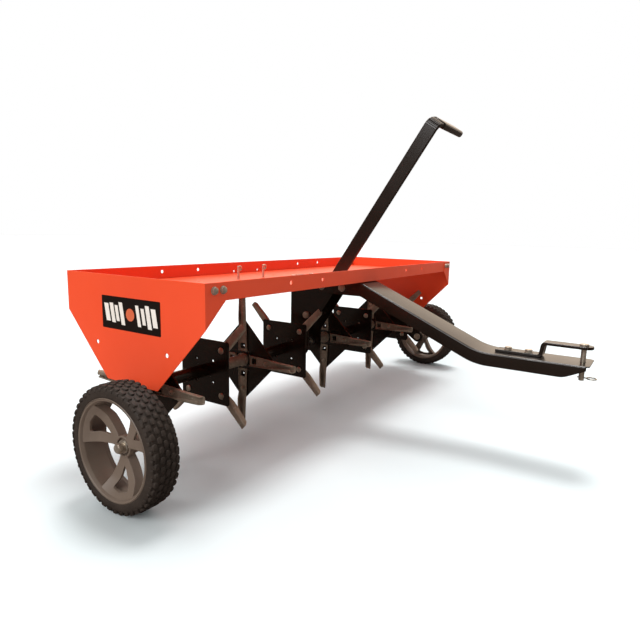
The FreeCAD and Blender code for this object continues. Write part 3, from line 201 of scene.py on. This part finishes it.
LABEL_WARM = surface("label_warm", ((222, 110, 70), (212, 98, 60)), 0.03, (0.3, 0.4), 0.002, 0.00001)


# ---- forms -------------------------------------------------------------------------------------

def outward(mesh, merge=False):
    """Turn a mesh's faces outwards, after joining its doubled points if asked to."""
    shape = bmesh.new()
    shape.from_mesh(mesh)
    if merge:
        bmesh.ops.remove_doubles(shape, verts=shape.verts, dist=SAME_POINT)
    bmesh.ops.recalc_face_normals(shape, faces=shape.faces)
    shape.to_mesh(mesh)
    shape.free()
    return mesh


class Form:
    """Points and faces gathered for one mesh, in millimetres."""

    def __init__(self):
        self.points = []
        self.faces = []

    def row(self, points):
        """Take in points, and give their places in the list."""
        first = len(self.points)
        self.points += [Vector(point) for point in points]
        return list(range(first, len(self.points)))

    def skin(self, rings, loop=False):
        """Quads between rings of equal length; loop joins the last to the first, or both get a cap."""
        rows = [self.row(ring) for ring in rings]
        pairs = list(zip(rows, rows[1:])) + ([(rows[-1], rows[0])] if loop else [])
        count = len(rows[0])
        for one, two in pairs:
            for k in range(count):
                after = (k + 1) % count
                self.faces.append((one[k], one[after], two[after], two[k]))
        if not loop:
            self.faces += [tuple(reversed(rows[0])), tuple(rows[-1])]
        return self

    def add(self, other, place=Matrix()):
        """Take in another form, moved by place."""
        first = len(self.points)
        self.points += [place @ point for point in other.points]
        self.faces += [tuple(first + index for index in face) for face in other.faces]
        return self

    def plain_mesh(self, name):
        """The mesh of this form in its own millimetres."""
        mesh = bpy.data.meshes.new(name)
        mesh.from_pydata(self.points, [], self.faces)
        return outward(mesh)

    def mesh(self, name, place=Matrix()):
        """The mesh of this form, moved by place and then into the row frame."""
        to_row = Matrix.Translation(AXLE) @ Matrix.Scale(MM, 4) @ place
        mesh = bpy.data.meshes.new(name)
        mesh.from_pydata([to_row @ point for point in self.points], [], self.faces)
        return outward(mesh, merge=True)


def piece(name, mesh, body, slot, stands_for=(), edge=0.0, segments=2, material=None):
    """Put a mesh in the scene as a piece of the object; edge eases its sharp edges by that many mm."""
    thing = bpy.data.objects.new(name, mesh)
    bpy.context.scene.collection.objects.link(thing)
    mesh.materials.clear()
    mesh.materials.append(material or FINISH[slot])
    for face in mesh.polygons:
        face.use_smooth = True
    if edge:
        bevel = thing.modifiers.new("edges", "BEVEL")
        bevel.width = edge * MM
        bevel.segments = segments
        bevel.limit_method = "ANGLE"
        bevel.angle_limit = SHARP
        bevel.use_clamp_overlap = False
        bevel.harden_normals = True
    else:
        mesh.set_sharp_from_angle(angle=SHARP)
    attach(thing, body)
    if stands_for:
        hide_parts(*stands_for)


def eased(node, slot, edge, segments=2):
    """A copy of a CAD node with its edges eased, which stands for the node."""
    shape = welded(node)
    mesh = bpy.data.meshes.new(node)
    shape.to_mesh(mesh)
    shape.free()
    if "custom_normal" in mesh.attributes:
        mesh.attributes.remove(mesh.attributes["custom_normal"])
    piece(f"{node}_eased", mesh, BODY_OF[node], slot, [node], edge, segments)


def circle(radius, steps, at=0.0):
    """A ring of points round the X axis."""
    turns = [2 * math.pi * k / steps for k in range(steps)]
    return [(at, radius * math.cos(turn), radius * math.sin(turn)) for turn in turns]


def spun(profile, steps, hollow=True):
    """A solid of revolution about X from (x, radius) points: a hollow one's profile is a closed loop."""
    return Form().skin([circle(radius, steps, x) for x, radius in profile], loop=hollow)


def rounded(points, radius, steps):
    """An open path whose inner corners are rounded by short curves."""
    most = 0.48                 # a curve takes up no more than this share of a side
    points = [Vector(point) for point in points]
    path = [points[0]]
    for before, corner, after in zip(points, points[1:], points[2:]):
        start = corner + (before - corner).normalized() * min(radius, (before - corner).length * most)
        end = corner + (after - corner).normalized() * min(radius, (after - corner).length * most)
        for k in range(steps + 1):
            share = k / steps
            rest = 1 - share
            path.append(start * rest ** 2 + corner * 2 * share * rest + end * share * share)
    return path + [points[-1]]


def thickened(path, half):
    """A flat path as a closed loop that runs half to each side of it."""
    one_side, other_side = [], []
    for index, point in enumerate(path):
        along = (path[min(index + 1, len(path) - 1)] - path[max(index - 1, 0)]).normalized()
        aside = Vector((-along.y, along.x)) * half
        one_side.append(point + aside)
        other_side.append(point - aside)
    return one_side + other_side[::-1]


def facing(direction):
    """The turn that points +X in a direction."""
    return Vector((1, 0, 0)).rotation_difference(Vector(direction)).to_matrix().to_4x4()


# ---- fasteners ---------------------------------------------------------------------------------

WASHER_THICK = 1.0
WASHER_OUT = 1.12               # a washer's radius, as a share of the head's to its corners
WASHER_BORE = 0.9               # its hole, as a share of the shank, so that no gap shows
SHANK = 0.53                    # a shank's radius, as a share of the head's


def hexagonal(radius, height, start=0.0):
    """A hexagon along X whose far corners are chamfered as on a real head; radius is to its corners."""
    steps, top_share, slope = 36, 0.96, 0.5     # the far face's share of the flats, and its chamfer
    flat = radius * math.cos(math.pi / 6)
    top = flat * top_share
    rows = [[], [], []]
    for k in range(steps):
        turn = 2 * math.pi * k / steps
        reach = flat / math.cos((turn + math.pi / 6) % (math.pi / 3) - math.pi / 6)
        drop = (reach - top) * slope
        for row, (x, out) in zip(rows, ((0, reach), (height - drop, reach), (height, top))):
            row.append((start + x, out * math.cos(turn), out * math.sin(turn)))
    return Form().skin(rows)


def washer(outer, inner, thick, start=0.0):
    """A flat ring along X."""
    end = start + thick
    return spun([(start, inner), (start, outer), (end, outer), (end, inner)], 32)


def thread(radius, start, end, pitch=1.25):
    """A threaded end as ridges, each from its root up to the full radius and back."""
    profile = [(start, radius * 0.9)]
    x = start
    while x + pitch < end:
        profile += [(x + pitch * 0.5, radius), (x + pitch, radius * 0.88)]
        x += pitch
    return spun(profile + [(end, radius * 0.8)], 20, hollow=False)


def domed(radius, height, start=0.0):
    """A carriage bolt's round head: a short rim, a quarter round and a small flat on top."""
    steps, rim = 6, 0.15
    profile = [(start, radius * 0.97)]
    for k in range(steps):
        turn = math.pi / 2 * k / steps
        profile.append((start + height * (rim + (1 - rim) * math.sin(turn)), radius * math.cos(turn)))
    return spun(profile + [(start + height, radius * 0.08)], 32, hollow=False)


def longest(vector):
    """Which of a vector's three parts is the longest."""
    return max(range(3), key=lambda i: abs(vector[i]))


def bolt_and_nut(radius, end, nut, seat, head):
    """A bolt along +X with its nut, each on a washer.

    The thread starts at end, the nut and its washer lie between nut's two places, and the head
    and its washer between seat and head.
    """
    shank = radius * SHANK
    nut_out, nut_in = nut
    form = hexagonal(radius, head - seat - WASHER_THICK, seat + WASHER_THICK)
    form.add(washer(radius * WASHER_OUT, shank * WASHER_BORE, WASHER_THICK, seat))
    form.add(spun([(nut_out, shank), (seat + WASHER_THICK, shank)], 24, hollow=False))
    form.add(thread(shank, end, nut_out))
    form.add(hexagonal(radius, nut_in - nut_out - WASHER_THICK, nut_out))
    form.add(washer(radius * WASHER_OUT, shank * WASHER_BORE, WASHER_THICK, nut_in - WASHER_THICK))
    return form


def fasteners(name, node):
    """Detailed bolts, nuts and washers where a node's plain ones are: its solids go bolt, nut, bolt, nut."""
    form = Form()
    found = solids(node)
    for bolt, nut in zip(found[0::2], found[1::2]):
        middle = halfway(bolt)
        apart = middle - halfway(nut)
        axis = longest(apart)
        way = Vector()
        way[axis] = math.copysign(1, apart[axis])
        end, head = sorted((corner - middle).dot(way) for corner in bolt)
        nut_span = sorted((corner - middle).dot(way) for corner in nut)
        seat = head - (nut_span[1] - nut_span[0] - WASHER_THICK)
        across = [bolt[1][i] - bolt[0][i] for i in range(3) if i != axis]
        turn = Matrix.Rotation(math.radians(90 if across[0] < across[1] else 0), 4, "X")
        place = Matrix.Translation(middle) @ facing(way) @ turn
        form.add(bolt_and_nut(max(across) / 2, end, nut_span, seat, head), place)
    piece(name, form.mesh(name), BODY_OF[node], "zinc_plate", [node], edge=0.25)


# ---- wheels ------------------------------------------------------------------------------------

BEAD = 101.7                    # radius at which the tyre sits on the rim
TREAD_AROUND = 44               # blocks in a row
TREAD_ROWS = 5
TREAD_PITCH = 11.6              # from row to row
BLOCK = (8.9, 12.2, 3.6)        # a tread block's width, length and depth
LUG = (6.4, 8.5, 4.5)           # the same for a lug on the shoulder
EDGE_DROP = 1.4                 # how far the outer rows lie below the middle ones
LUG_DROP = 6.2                  # and the lugs below them
LUG_IN = 2.6                    # from the side wall's face to a lug's middle


def tyre_carcass(half, radius):
    """The tyre's smooth body: side walls that swell from the bead to the shoulder."""
    shoulder = radius - 3.4
    wall = [(-half + 3, BEAD - 3.4), (-half + 1.2, BEAD), (-half, BEAD + 2.5), (-half, radius - 14),
            (-half + 1.6, radius - 8.5), (-half + 5, radius - 5.2), (-half + 10, shoulder - 0.3),
            (-half + 15, shoulder)]
    profile = [tuple(point) for point in rounded(wall, radius=2.5, steps=3)]
    return spun(profile + [(-x, r) for x, r in reversed(profile)], steps=160)


def tread_block(radius, at, turn, wide, long, deep):
    """One rounded tread block at X = at, turned about the wheel; its top is smaller than its foot."""
    corners, squareness = 12, 0.7
    rows = []
    for inset, level in ((-0.6, -deep - 1), (0.0, -0.9), (0.45, -0.25), (1.2, 0.0)):
        half_wide, half_long = wide / 2 - inset, long / 2 - inset
        reach = radius + level
        row = []
        for k in range(corners):
            angle = 2 * math.pi * (k + 0.5) / corners
            over, along = (math.copysign(abs(part) ** squareness, part)
                           for part in (math.cos(angle), math.sin(angle)))
            bend = turn + half_long * along / radius
            row.append((at + half_wide * over, reach * math.cos(bend), reach * math.sin(bend)))
        rows.append(row)
    return Form().skin(rows)


def make_tyre(side):
    """A tyre with five staggered rows of blocks and lugs over its shoulders."""
    low, high = box(f"tyre_{side}")
    radius, half = (high.z - low.z) / 2, (high.x - low.x) / 2
    form = tyre_carcass(half, radius)
    for row in range(TREAD_ROWS):
        at = (row - (TREAD_ROWS - 1) / 2) * TREAD_PITCH
        drop = EDGE_DROP if row in (0, TREAD_ROWS - 1) else 0.0
        for k in range(TREAD_AROUND):
            turn = 2 * math.pi * (k + 0.5 * (row % 2)) / TREAD_AROUND
            form.add(tread_block(radius - drop, at, turn, *BLOCK))
    for k in range(TREAD_AROUND):
        turn = 2 * math.pi * (k + 0.5) / TREAD_AROUND
        for end in (-1, 1):
            form.add(tread_block(radius - LUG_DROP, end * (half - LUG_IN), turn, *LUG))
    mesh = form.mesh(f"tread_{side}", Matrix.Translation(halfway((low, high))))
    piece(f"tread_{side}", mesh, f"wheel_{side}", "tyre_rubber", [f"tyre_{side}"])


# How far out of the wheel's middle plane the fans' outer face lies, at some radii.
DISH = ((17, 2.6), (24, 2.2), (32, 1.8), (39, 2.0), (54, 3.5), (69, 6.5), (84, 16.5), (93, 24.0), (101, 28.6))
FANS = 3
FAN_FIRST = 34                  # where the first fan's middle is, in degrees
FAN_HALF = 30.0                 # half of a fan's span, in degrees
FAN_THICK = 6.0
FAN_RINGS = (17, 21, 26, 32, 38, 39, 40, 42, 46, 52, 59, 66, 72, 77, 80, 82, 83.6, 84.5, 86, 90, 95, 98.5)
WEB_DEEP = 20.0                 # the webs down a fan's sides
WEB_WALL = 4.0
WINDOW = (39.0, 84.5)           # the radii that a fan's window lies between
WINDOW_CORNER = 6.0
WINDOW_APEX = 3                 # half of the window's span at its inner end, in degrees
WINDOW_SPREAD = 13              # how much more that is at its outer end
WINDOW_LEAST = 0.4              # half of its width where its corners close


def between(table, value):
    """A value read off a table of (place, amount) pairs by straight lines."""
    for (low, first), (high, second) in zip(table, table[1:]):
        if value <= high:
            return first + (second - first) * max(0.0, (value - low) / (high - low))
    return table[-1][1]


def window_half(radius):
    """Half the width of a fan's window at a radius, in degrees, with rounded corners."""
    inner, outer = WINDOW
    if not inner <= radius <= outer:
        return 0.0
    share = (radius - inner) / (outer - inner)
    wide = math.radians(WINDOW_APEX + WINDOW_SPREAD * share) * radius
    for gap in (radius - inner, outer - radius):
        if gap < WINDOW_CORNER:
            left = WINDOW_CORNER - gap
            wide -= WINDOW_CORNER - math.sqrt(max(0.0, WINDOW_CORNER ** 2 - left ** 2))
    return math.degrees(max(WINDOW_LEAST, wide) / radius)


def fan(centre):
    """One fan of the right-hand rim: a dished sector with a window and deep webs down its sides."""
    form = Form()

    def spot(radius, angle, deep):
        turn = math.radians(centre + angle)
        return (deep - between(DISH, radius), -radius * math.cos(turn), radius * math.sin(turn))

    def strip(near, far, first, second):
        """A quad between two rings; first and second are the column and depth of its sides."""
        corners = [(near, first), (near, second), (far, second), (far, first)]
        spots = [spot(radius, angles[column], deep) for (radius, angles), (column, deep) in corners]
        form.faces.append(tuple(form.row(spots)))

    for way in (-1, 1):
        rings = []
        for radius in FAN_RINGS:
            opening = window_half(radius)
            ridge = FAN_HALF - math.degrees(WEB_WALL / radius)
            inside = [opening + (ridge - opening) * k / 3 for k in range(4)]
            rings.append((radius, [way * angle for angle in inside + [FAN_HALF]]))
        for near, far in zip(rings, rings[1:]):
            for k in range(4):
                strip(near, far, (k, 0), (k + 1, 0))
            for k in range(3):
                strip(near, far, (k, FAN_THICK), (k + 1, FAN_THICK))
            strip(near, far, (4, 0), (4, WEB_DEEP))
            strip(near, far, (3, WEB_DEEP), (4, WEB_DEEP))
            strip(near, far, (3, FAN_THICK), (3, WEB_DEEP))
            in_window = near[1][0] or far[1][0]
            if in_window:
                strip(near, far, (0, 0), (0, FAN_THICK))
    return form


def make_rim(side):
    """The moulded rim: a barrel with bead lips, a cupped hub, and three dished fans with windows."""
    low, high = box(f"tyre_{side}")
    middle = halfway((low, high))
    half = (high.x - low.x) / 2
    outside = 98.2              # radius of the barrel under the tyre
    barrel = rounded([(-half + 2.4, BEAD), (-half, BEAD), (-half + 0.3, 97.0), (-half + 8, 93.0),
                      (half - 12, 91.0), (half - 6, 94.0), (half, 96.0), (half, BEAD), (half - 2.4, BEAD),
                      (half - 3, outside), (-half + 3, outside)], 1.2, 3)
    form = spun([tuple(point) for point in barrel], steps=128)
    hub = [(-3.0, 18.8), (-2.4, 21.0), (-0.8, 22.0), (8.0, 22.0), (11.0, 20.0), (14.0, 19.0), (45.0, 18.4),
           (45.0, 11.2), (2.2, 11.2), (2.2, 16.8), (-2.2, 17.6)]
    form.add(spun(hub, steps=64))
    for k in range(FANS):
        form.add(fan(FAN_FIRST + 360 / FANS * k))
    turned = Matrix.Rotation(math.pi, 4, "Z") if middle.x > 0 else Matrix()
    mesh = form.mesh(f"fan_rim_{side}", Matrix.Translation(middle) @ turned)
    piece(f"fan_rim_{side}", mesh, f"wheel_{side}", "rim_plastic", [f"rim_{side}"], edge=1.1, segments=3)


def make_wheel_nuts():
    """Each spindle's nut, out on its threaded end, with a washer against the hub."""
    clear, nut_back = 0.5, 8.3      # from the wheel's middle to the washer, and from thread's end to nut
    low, high = box("wheel_nuts")
    form = Form()
    for side, sign in SIDES.items():
        middle = halfway(box(f"tyre_{side}"))
        inside = middle.x * sign + clear
        end = high.x - inside
        nut = washer(outer=13, inner=6, thick=2)
        nut.add(thread(radius=6.5, start=0, end=end, pitch=1.5))
        nut.add(hexagonal(radius=10.6, height=7.5, start=end - nut_back))
        place = Matrix.Translation((sign * inside, middle.y, (low.z + high.z) / 2))
        form.add(nut, place @ facing((sign, 0, 0)))
    name = "wheel_nut_set"
    piece(name, form.mesh(name), BODY_OF["wheel_nuts"], "zinc_plate", ["wheel_nuts"], edge=0.3)


# ---- coring stars ------------------------------------------------------------------------------

ROOT, TIP = 24.0, 175.0         # where a spoon starts and ends, from the axle
ROLL_START, ROLL_LONG = 82, 34  # where its lips start to rise, and over what length
ROOT_HALF, TIP_HALF = 13.5, 8.0
SPOON_HALF_WALL = 1.5
LOW_LIP = 3.0                   # how far the lips stand up at the root
LIP_RISES = (5.5, 8.5)          # how much more each one does beyond the roll
SQUARE_HOLE, SQUARE_AT = 15.0, 38.0
SPOON_BOLT_AT = 80
DIAMOND_REACH = 100             # a plate that reaches further back than this stands on its corner


def spoon():
    """One spoon along +Z with its back at X = 0: a flat root with low lips that rolls into a trough."""
    stations, round_by, taper = 14, 4.0, 0.85   # taper draws the lips' ends back from the tip
    rows = []
    for k in range(stations + 1):
        share = k / stations
        reach = ROOT + (TIP - ROOT) * share
        rise = min(1.0, max(0.0, (reach - ROLL_START) / ROLL_LONG))
        rise = rise * rise * (3 - 2 * rise)
        half = ROOT_HALF + (TIP_HALF - ROOT_HALF) * share
        low_lip, high_lip = (LOW_LIP + more * rise for more in LIP_RISES)
        curl = 0.8 + 7.0 * rise * share
        path = rounded([(half - 1.5 * rise, low_lip), (half, 0), (-half, 0), (-half, high_lip),
                        (-half + curl, high_lip + 0.4)], round_by, steps=4)
        row = []
        for across, depth in thickened(path, SPOON_HALF_WALL):
            slant = taper * max(0.0, depth) * share ** 3
            row.append((-depth - SPOON_HALF_WALL, across, reach - slant))
        rows.append(row)
    return Form().skin(rows)


def cut_square(form, side, at):
    """The form with a square hole through it about X, at a height along Z."""
    half = side / 2
    square = [(-half, -half), (half, -half), (half, half), (-half, half)]
    through = Form().skin([[(x, y, at + z) for y, z in square] for x in (-8, 3)])
    target = bpy.data.objects.new("target", form.plain_mesh("spoon"))
    tool = bpy.data.objects.new("tool", through.plain_mesh("tool"))
    for thing in (tool, target):
        bpy.context.scene.collection.objects.link(thing)
    cutter = target.modifiers.new("cut", "BOOLEAN")
    cutter.operation = "DIFFERENCE"
    cutter.object = tool
    result = bpy.data.meshes.new_from_object(target.evaluated_get(bpy.context.evaluated_depsgraph_get()))
    bpy.data.objects.remove(tool)
    bpy.data.objects.remove(target)
    cut = Form()
    cut.points = [vertex.co.copy() for vertex in result.vertices]
    cut.faces = [tuple(face.vertices) for face in result.polygons]
    return cut


def spoon_bolt():
    """A carriage bolt through a plate from X = 0 to 4, its dome on the plate and its nut on the spoon."""
    outwards = Matrix.Rotation(math.pi, 4, "Z")
    form = Form()
    form.add(hexagonal(radius=6.2, height=4.6, start=3.4), outwards)
    form.add(thread(radius=3.5, start=7.5, end=10.5), outwards)
    form.add(domed(radius=8.4, height=4.3, start=4.0))
    return form


def make_stars():
    """Each star's four spoons and its plate, and each gang's spoon bolts."""
    one_spoon = cut_square(spoon(), SQUARE_HOLE, SQUARE_AT)
    one_bolt = spoon_bolt()
    for side in SIDES:
        bolts = Form()
        for number in STARS:
            plate, spoon_node = f"star_plate_{side}_{number}", f"spoons_{side}_{number}"
            low, high = box(plate)
            on_low_face = box(spoon_node)[0].x < low.x - 1
            face = low.x if on_low_face else high.x
            flip = Matrix.Rotation(0 if on_low_face else math.pi, 4, "Z")
            diamond = abs(high.y) > DIAMOND_REACH
            spoons = Form()
            for k in range(4):
                turn = Matrix.Rotation(math.radians(90 * k + (0 if diamond else 45)), 4, "X")
                place = Matrix.Translation((face, 0, 0)) @ turn @ flip
                spoons.add(one_spoon, place)
                bolts.add(one_bolt, place @ Matrix.Translation((0, 0, SPOON_BOLT_AT)))
            name = f"spoon_set_{side}_{number}"
            piece(name, spoons.mesh(name), f"gang_{side}", "spoon_steel", [spoon_node], edge=0.6)
            eased(plate, "black_paint", edge=0.5)
        name = f"spoon_bolt_set_{side}"
        piece(name, bolts.mesh(name), f"gang_{side}", "zinc_plate", [f"spoon_bolts_{side}"], edge=0.3)


# ---- handle ------------------------------------------------------------------------------------

BAR_LEAN = 34.0                 # degrees from upright
BAR_REACH = 631.0               # from the pivot to where the bend starts
BAR_HALF = 19.0                 # half of the bar's width
BEND_CENTRE, BEND_OUTER = 19.0, 24.0
RIBS = 4
RIB_FIRST, RIB_STEP = 6, 12     # where the ribs are round the bend, in degrees
RIB_ENDS = ((1.2, 0.8), (1.9, 1.4))     # how far in from the bar's edge, and the rib's radius there


def make_grip_ribs():
    """Four fine ribs across the outside of the handle's bend."""
    pivot = halfway(box("handle_pivot"))
    place = Matrix.Translation((0, pivot.y, pivot.z)) @ Matrix.Rotation(math.radians(BAR_LEAN), 4, "X")
    place = place @ Matrix.Translation((BEND_CENTRE, 0, BAR_REACH + 1))
    sections = [(inset - BAR_HALF, radius) for inset, radius in RIB_ENDS]
    sections += [(BAR_HALF - inset, radius) for inset, radius in reversed(RIB_ENDS)]
    ribs = Form()
    for k in range(RIBS):
        turn = math.radians(RIB_FIRST + RIB_STEP * k)
        across, up = -BEND_OUTER * math.cos(turn), BEND_OUTER * math.sin(turn)
        ribs.skin([[(across + x, y, up + z) for _, x, z in circle(radius, 12)] for y, radius in sections])
    piece("grip_ribs", ribs.mesh("grip_ribs", place), BODY_OF["lift_handle"], "black_paint")


# ---- labels ------------------------------------------------------------------------------------

# Each bar's place from the label's middle, and half of its width and height.
LABEL_BARS = ((-76, 7, 19), (-58, 6, 24), (-42, 5, 17), (-26, 5, 22), (27, 6, 24), (43, 5, 17), (58, 6, 21),
              (76, 7, 19))
LABEL_SLANT = 0.18              # how far a bar leans for each mm of its height
LABEL_DISC = 13.5
LABEL_CORNER = 2.5
FILM_SUNK, INK_THICK = 0.15, 0.2


def make_labels():
    """Plain black labels with slanted bars either side of a disc, on both end plates."""
    for index, (low, high) in enumerate(solids("end_labels")):
        side = "left" if low.x > 0 else "right"
        sign = SIDES[side]
        outer, inner = (high.x, low.x) if sign > 0 else (low.x, high.x)
        corners = [(low.y, low.z), (high.y, low.z), (high.y, high.z), (low.y, high.z)]
        middle = halfway((low, high))
        loop = []
        for before, corner, after in zip(corners[-1:] + corners[:-1], corners, corners[1:] + corners[:1]):
            loop += rounded([before, corner, after], LABEL_CORNER, steps=4)[1:-1]
        film = Form().skin([[(x, y, z) for y, z in loop] for x in (inner, outer - sign * FILM_SUNK)])
        name = f"label_{side}"
        piece(name, film.mesh(name), "frame", "label_film", ["end_labels"] if index == 0 else [])
        pale, warm = Form(), Form()
        faces = (outer - sign * INK_THICK, outer)
        for across, half_wide, tall in LABEL_BARS:
            bar = [(-half_wide, -tall), (half_wide, -tall), (half_wide, tall), (-half_wide, tall)]
            pale.skin([[(x, middle.y - sign * across - sign * dz * LABEL_SLANT + dy, middle.z + dz)
                        for dy, dz in bar] for x in faces])
        disc = circle(LABEL_DISC, 32)
        warm.skin([[(x, middle.y + dy, middle.z + dz) for _, dy, dz in disc] for x in faces])
        piece(f"label_bars_{side}", pale.mesh("bars"), "frame", "label_film", material=LABEL_PALE)
        piece(f"label_mark_{side}", warm.mesh("mark"), "frame", "label_film", material=LABEL_WARM)


# ---- scene -------------------------------------------------------------------------------------

VIEW_ANGLES = (56.9, 9.3, 1.3)          # degrees: yaw from +Y towards +X, pitch down, and roll
VIEW_FROM = Vector((-1.3537, -0.9345, 0.3414))      # metres from the axle
LENS = 29.77                            # mm
FLOOR_HALF = 30.0                       # metres
BRIGHT_WAY = (0.80, 0.42, 0.42)         # towards the room's bright side
WHITE = (1.0, 1.0, 1.0, 1.0)            # the room's light, and its light in reflections
WARM = (0.6, 0.49, 0.39, 1.0)


def make_camera():
    """The camera at the photograph's viewing angle, close to the machine's front right corner."""
    yaw, pitch, roll = (math.radians(angle) for angle in VIEW_ANGLES)
    forward = Vector((math.sin(yaw) * math.cos(pitch), math.cos(yaw) * math.cos(pitch), -math.sin(pitch)))
    level = Vector((math.cos(yaw), -math.sin(yaw), 0))
    upward = level.cross(forward)
    right = level * math.cos(roll) + upward * math.sin(roll)
    above = -level * math.sin(roll) + upward * math.cos(roll)
    data = bpy.data.cameras.new("camera")
    data.lens = LENS
    camera = bpy.data.objects.new("camera", data)
    turn = Matrix((right, above, -forward)).transposed()
    camera.matrix_world = Matrix.Translation(AXLE + VIEW_FROM) @ turn.to_4x4()
    bpy.context.scene.collection.objects.link(camera)
    bpy.context.scene.camera = camera


def make_floor():
    """A pale, level floor that throws back less light than it shows, and is dark in reflections."""
    mesh = bpy.data.meshes.new("floor")
    corners = [(x * FLOOR_HALF, y * FLOOR_HALF, 0) for x, y in ((-1, -1), (1, -1), (1, 1), (-1, 1))]
    mesh.from_pydata(corners, [], [(0, 1, 2, 3)])
    floor = bpy.data.objects.new("floor", mesh)
    tones = ((209, 216, 217), (210, 217, 218))
    material = surface("floor", tones, 2.0, (0.8, 0.9), 0.02, 0.00001, specular=0.1)
    tree = material.node_tree
    base = tree.nodes["Principled BSDF"].inputs["Base Color"]
    path = tree.nodes.new("ShaderNodeLightPath")
    bounced = blended(tree, path.outputs["Is Glossy Ray"], linear(180, 175, 171), linear(78, 66, 58))
    shown = blended(tree, path.outputs["Is Camera Ray"], bounced, base.links[0].from_socket)
    tree.links.new(shown, base)
    mesh.materials.append(material)
    bpy.context.scene.collection.objects.link(floor)


def add_sun(name, direction, strength, spread):
    """Light from a direction, softened as by a source that many degrees wide."""
    data = bpy.data.lights.new(name, "SUN")
    data.energy = strength
    data.angle = math.radians(spread)
    sun = bpy.data.objects.new(name, data)
    sun.rotation_mode = "QUATERNION"
    sun.rotation_quaternion = Vector(direction).to_track_quat("Z", "Y")
    bpy.context.scene.collection.objects.link(sun)


def make_lights():
    """A white backdrop, room light that is stronger from one side, and two soft suns."""
    world = bpy.data.worlds.new("surround")
    world.use_nodes = True
    bpy.context.scene.world = world
    tree = world.node_tree
    background = tree.nodes["Background"]
    coords = tree.nodes.new("ShaderNodeTexCoord")
    aim = tree.nodes.new("ShaderNodeVectorMath")
    aim.operation = "DOT_PRODUCT"
    aim.inputs[1].default_value = Vector(BRIGHT_WAY).normalized()
    tree.links.new(coords.outputs["Generated"], aim.inputs[0])
    room = ranged(tree, aim.outputs["Value"], low=0.2, high=2.3, start=0.25, end=0.9)
    path = tree.nodes.new("ShaderNodeLightPath")
    strength = tree.nodes.new("ShaderNodeMix")
    tree.links.new(path.outputs["Is Camera Ray"], strength.inputs[0])
    tree.links.new(room, strength.inputs[2])
    strength.inputs[3].default_value = 1.0
    tree.links.new(strength.outputs[0], background.inputs["Strength"])
    warmth = blended(tree, path.outputs["Is Glossy Ray"], WHITE, WARM)
    tree.links.new(warmth, background.inputs["Color"])
    add_sun("top_light", (0.3, 0.1, 0.95), strength=1.9, spread=18)
    add_sun("side_light", (-0.84, 0.06, 0.54), strength=2.3, spread=44)
    bpy.context.scene.view_settings.view_transform = "Standard"


# How CAD nodes' edges are eased: by how many mm, in how many steps, and how the nodes' names start.
EASINGS = (
    (1.3, 3, ("tongue",)),
    (1.6, 3, ("hitch_strap",)),
    (2.2, 3, ("lift_handle",)),
    (0.6, 2, ("tray_pan", "end_plate")),
    (1.0, 2, ("handle_guide", "centre_hanger", "end_hanger", "axle_crank", "wheel_arm", "lift_link",
              "lift_axle", "painted_spacers")),
    (0.45, 2, ("tray_studs", "handle_pivot", "pivot_spacers", "upper_link_pin", "lower_link_pin",
               "wheel_spindles", "spindle_spacers", "axle_bushings", "gang_sleeve", "bare_spacers",
               "wheel_bushing", "hitch_pin")),
)
BOLT_NODES = ("frame_bolts", "tongue_bolts")


def finish_nodes():
    """Give every CAD node its slot's finish, and put one with eased edges in the place of most."""
    slots = {node: thing.data.materials[0].name.split(".")[0] for node, thing in frame["nodes"].items()}
    for node, slot in slots.items():
        mesh = frame["nodes"][node].data
        mesh.materials.clear()
        mesh.materials.append(FINISH[slot])
    for edge, segments, starts in EASINGS:
        for start in starts:
            for node in slots:
                if node.startswith(start) and node not in BOLT_NODES:
                    eased(node, slots[node], edge, segments)


def build():
    """Everything in the scene, the stage first."""
    make_camera()
    make_floor()
    make_lights()
    finish_nodes()
    for node in BOLT_NODES:
        fasteners(f"{node}_detailed", node)
    for side in SIDES:
        make_tyre(side)
        make_rim(side)
    make_wheel_nuts()
    make_stars()
    make_grip_ribs()
    make_labels()


build()
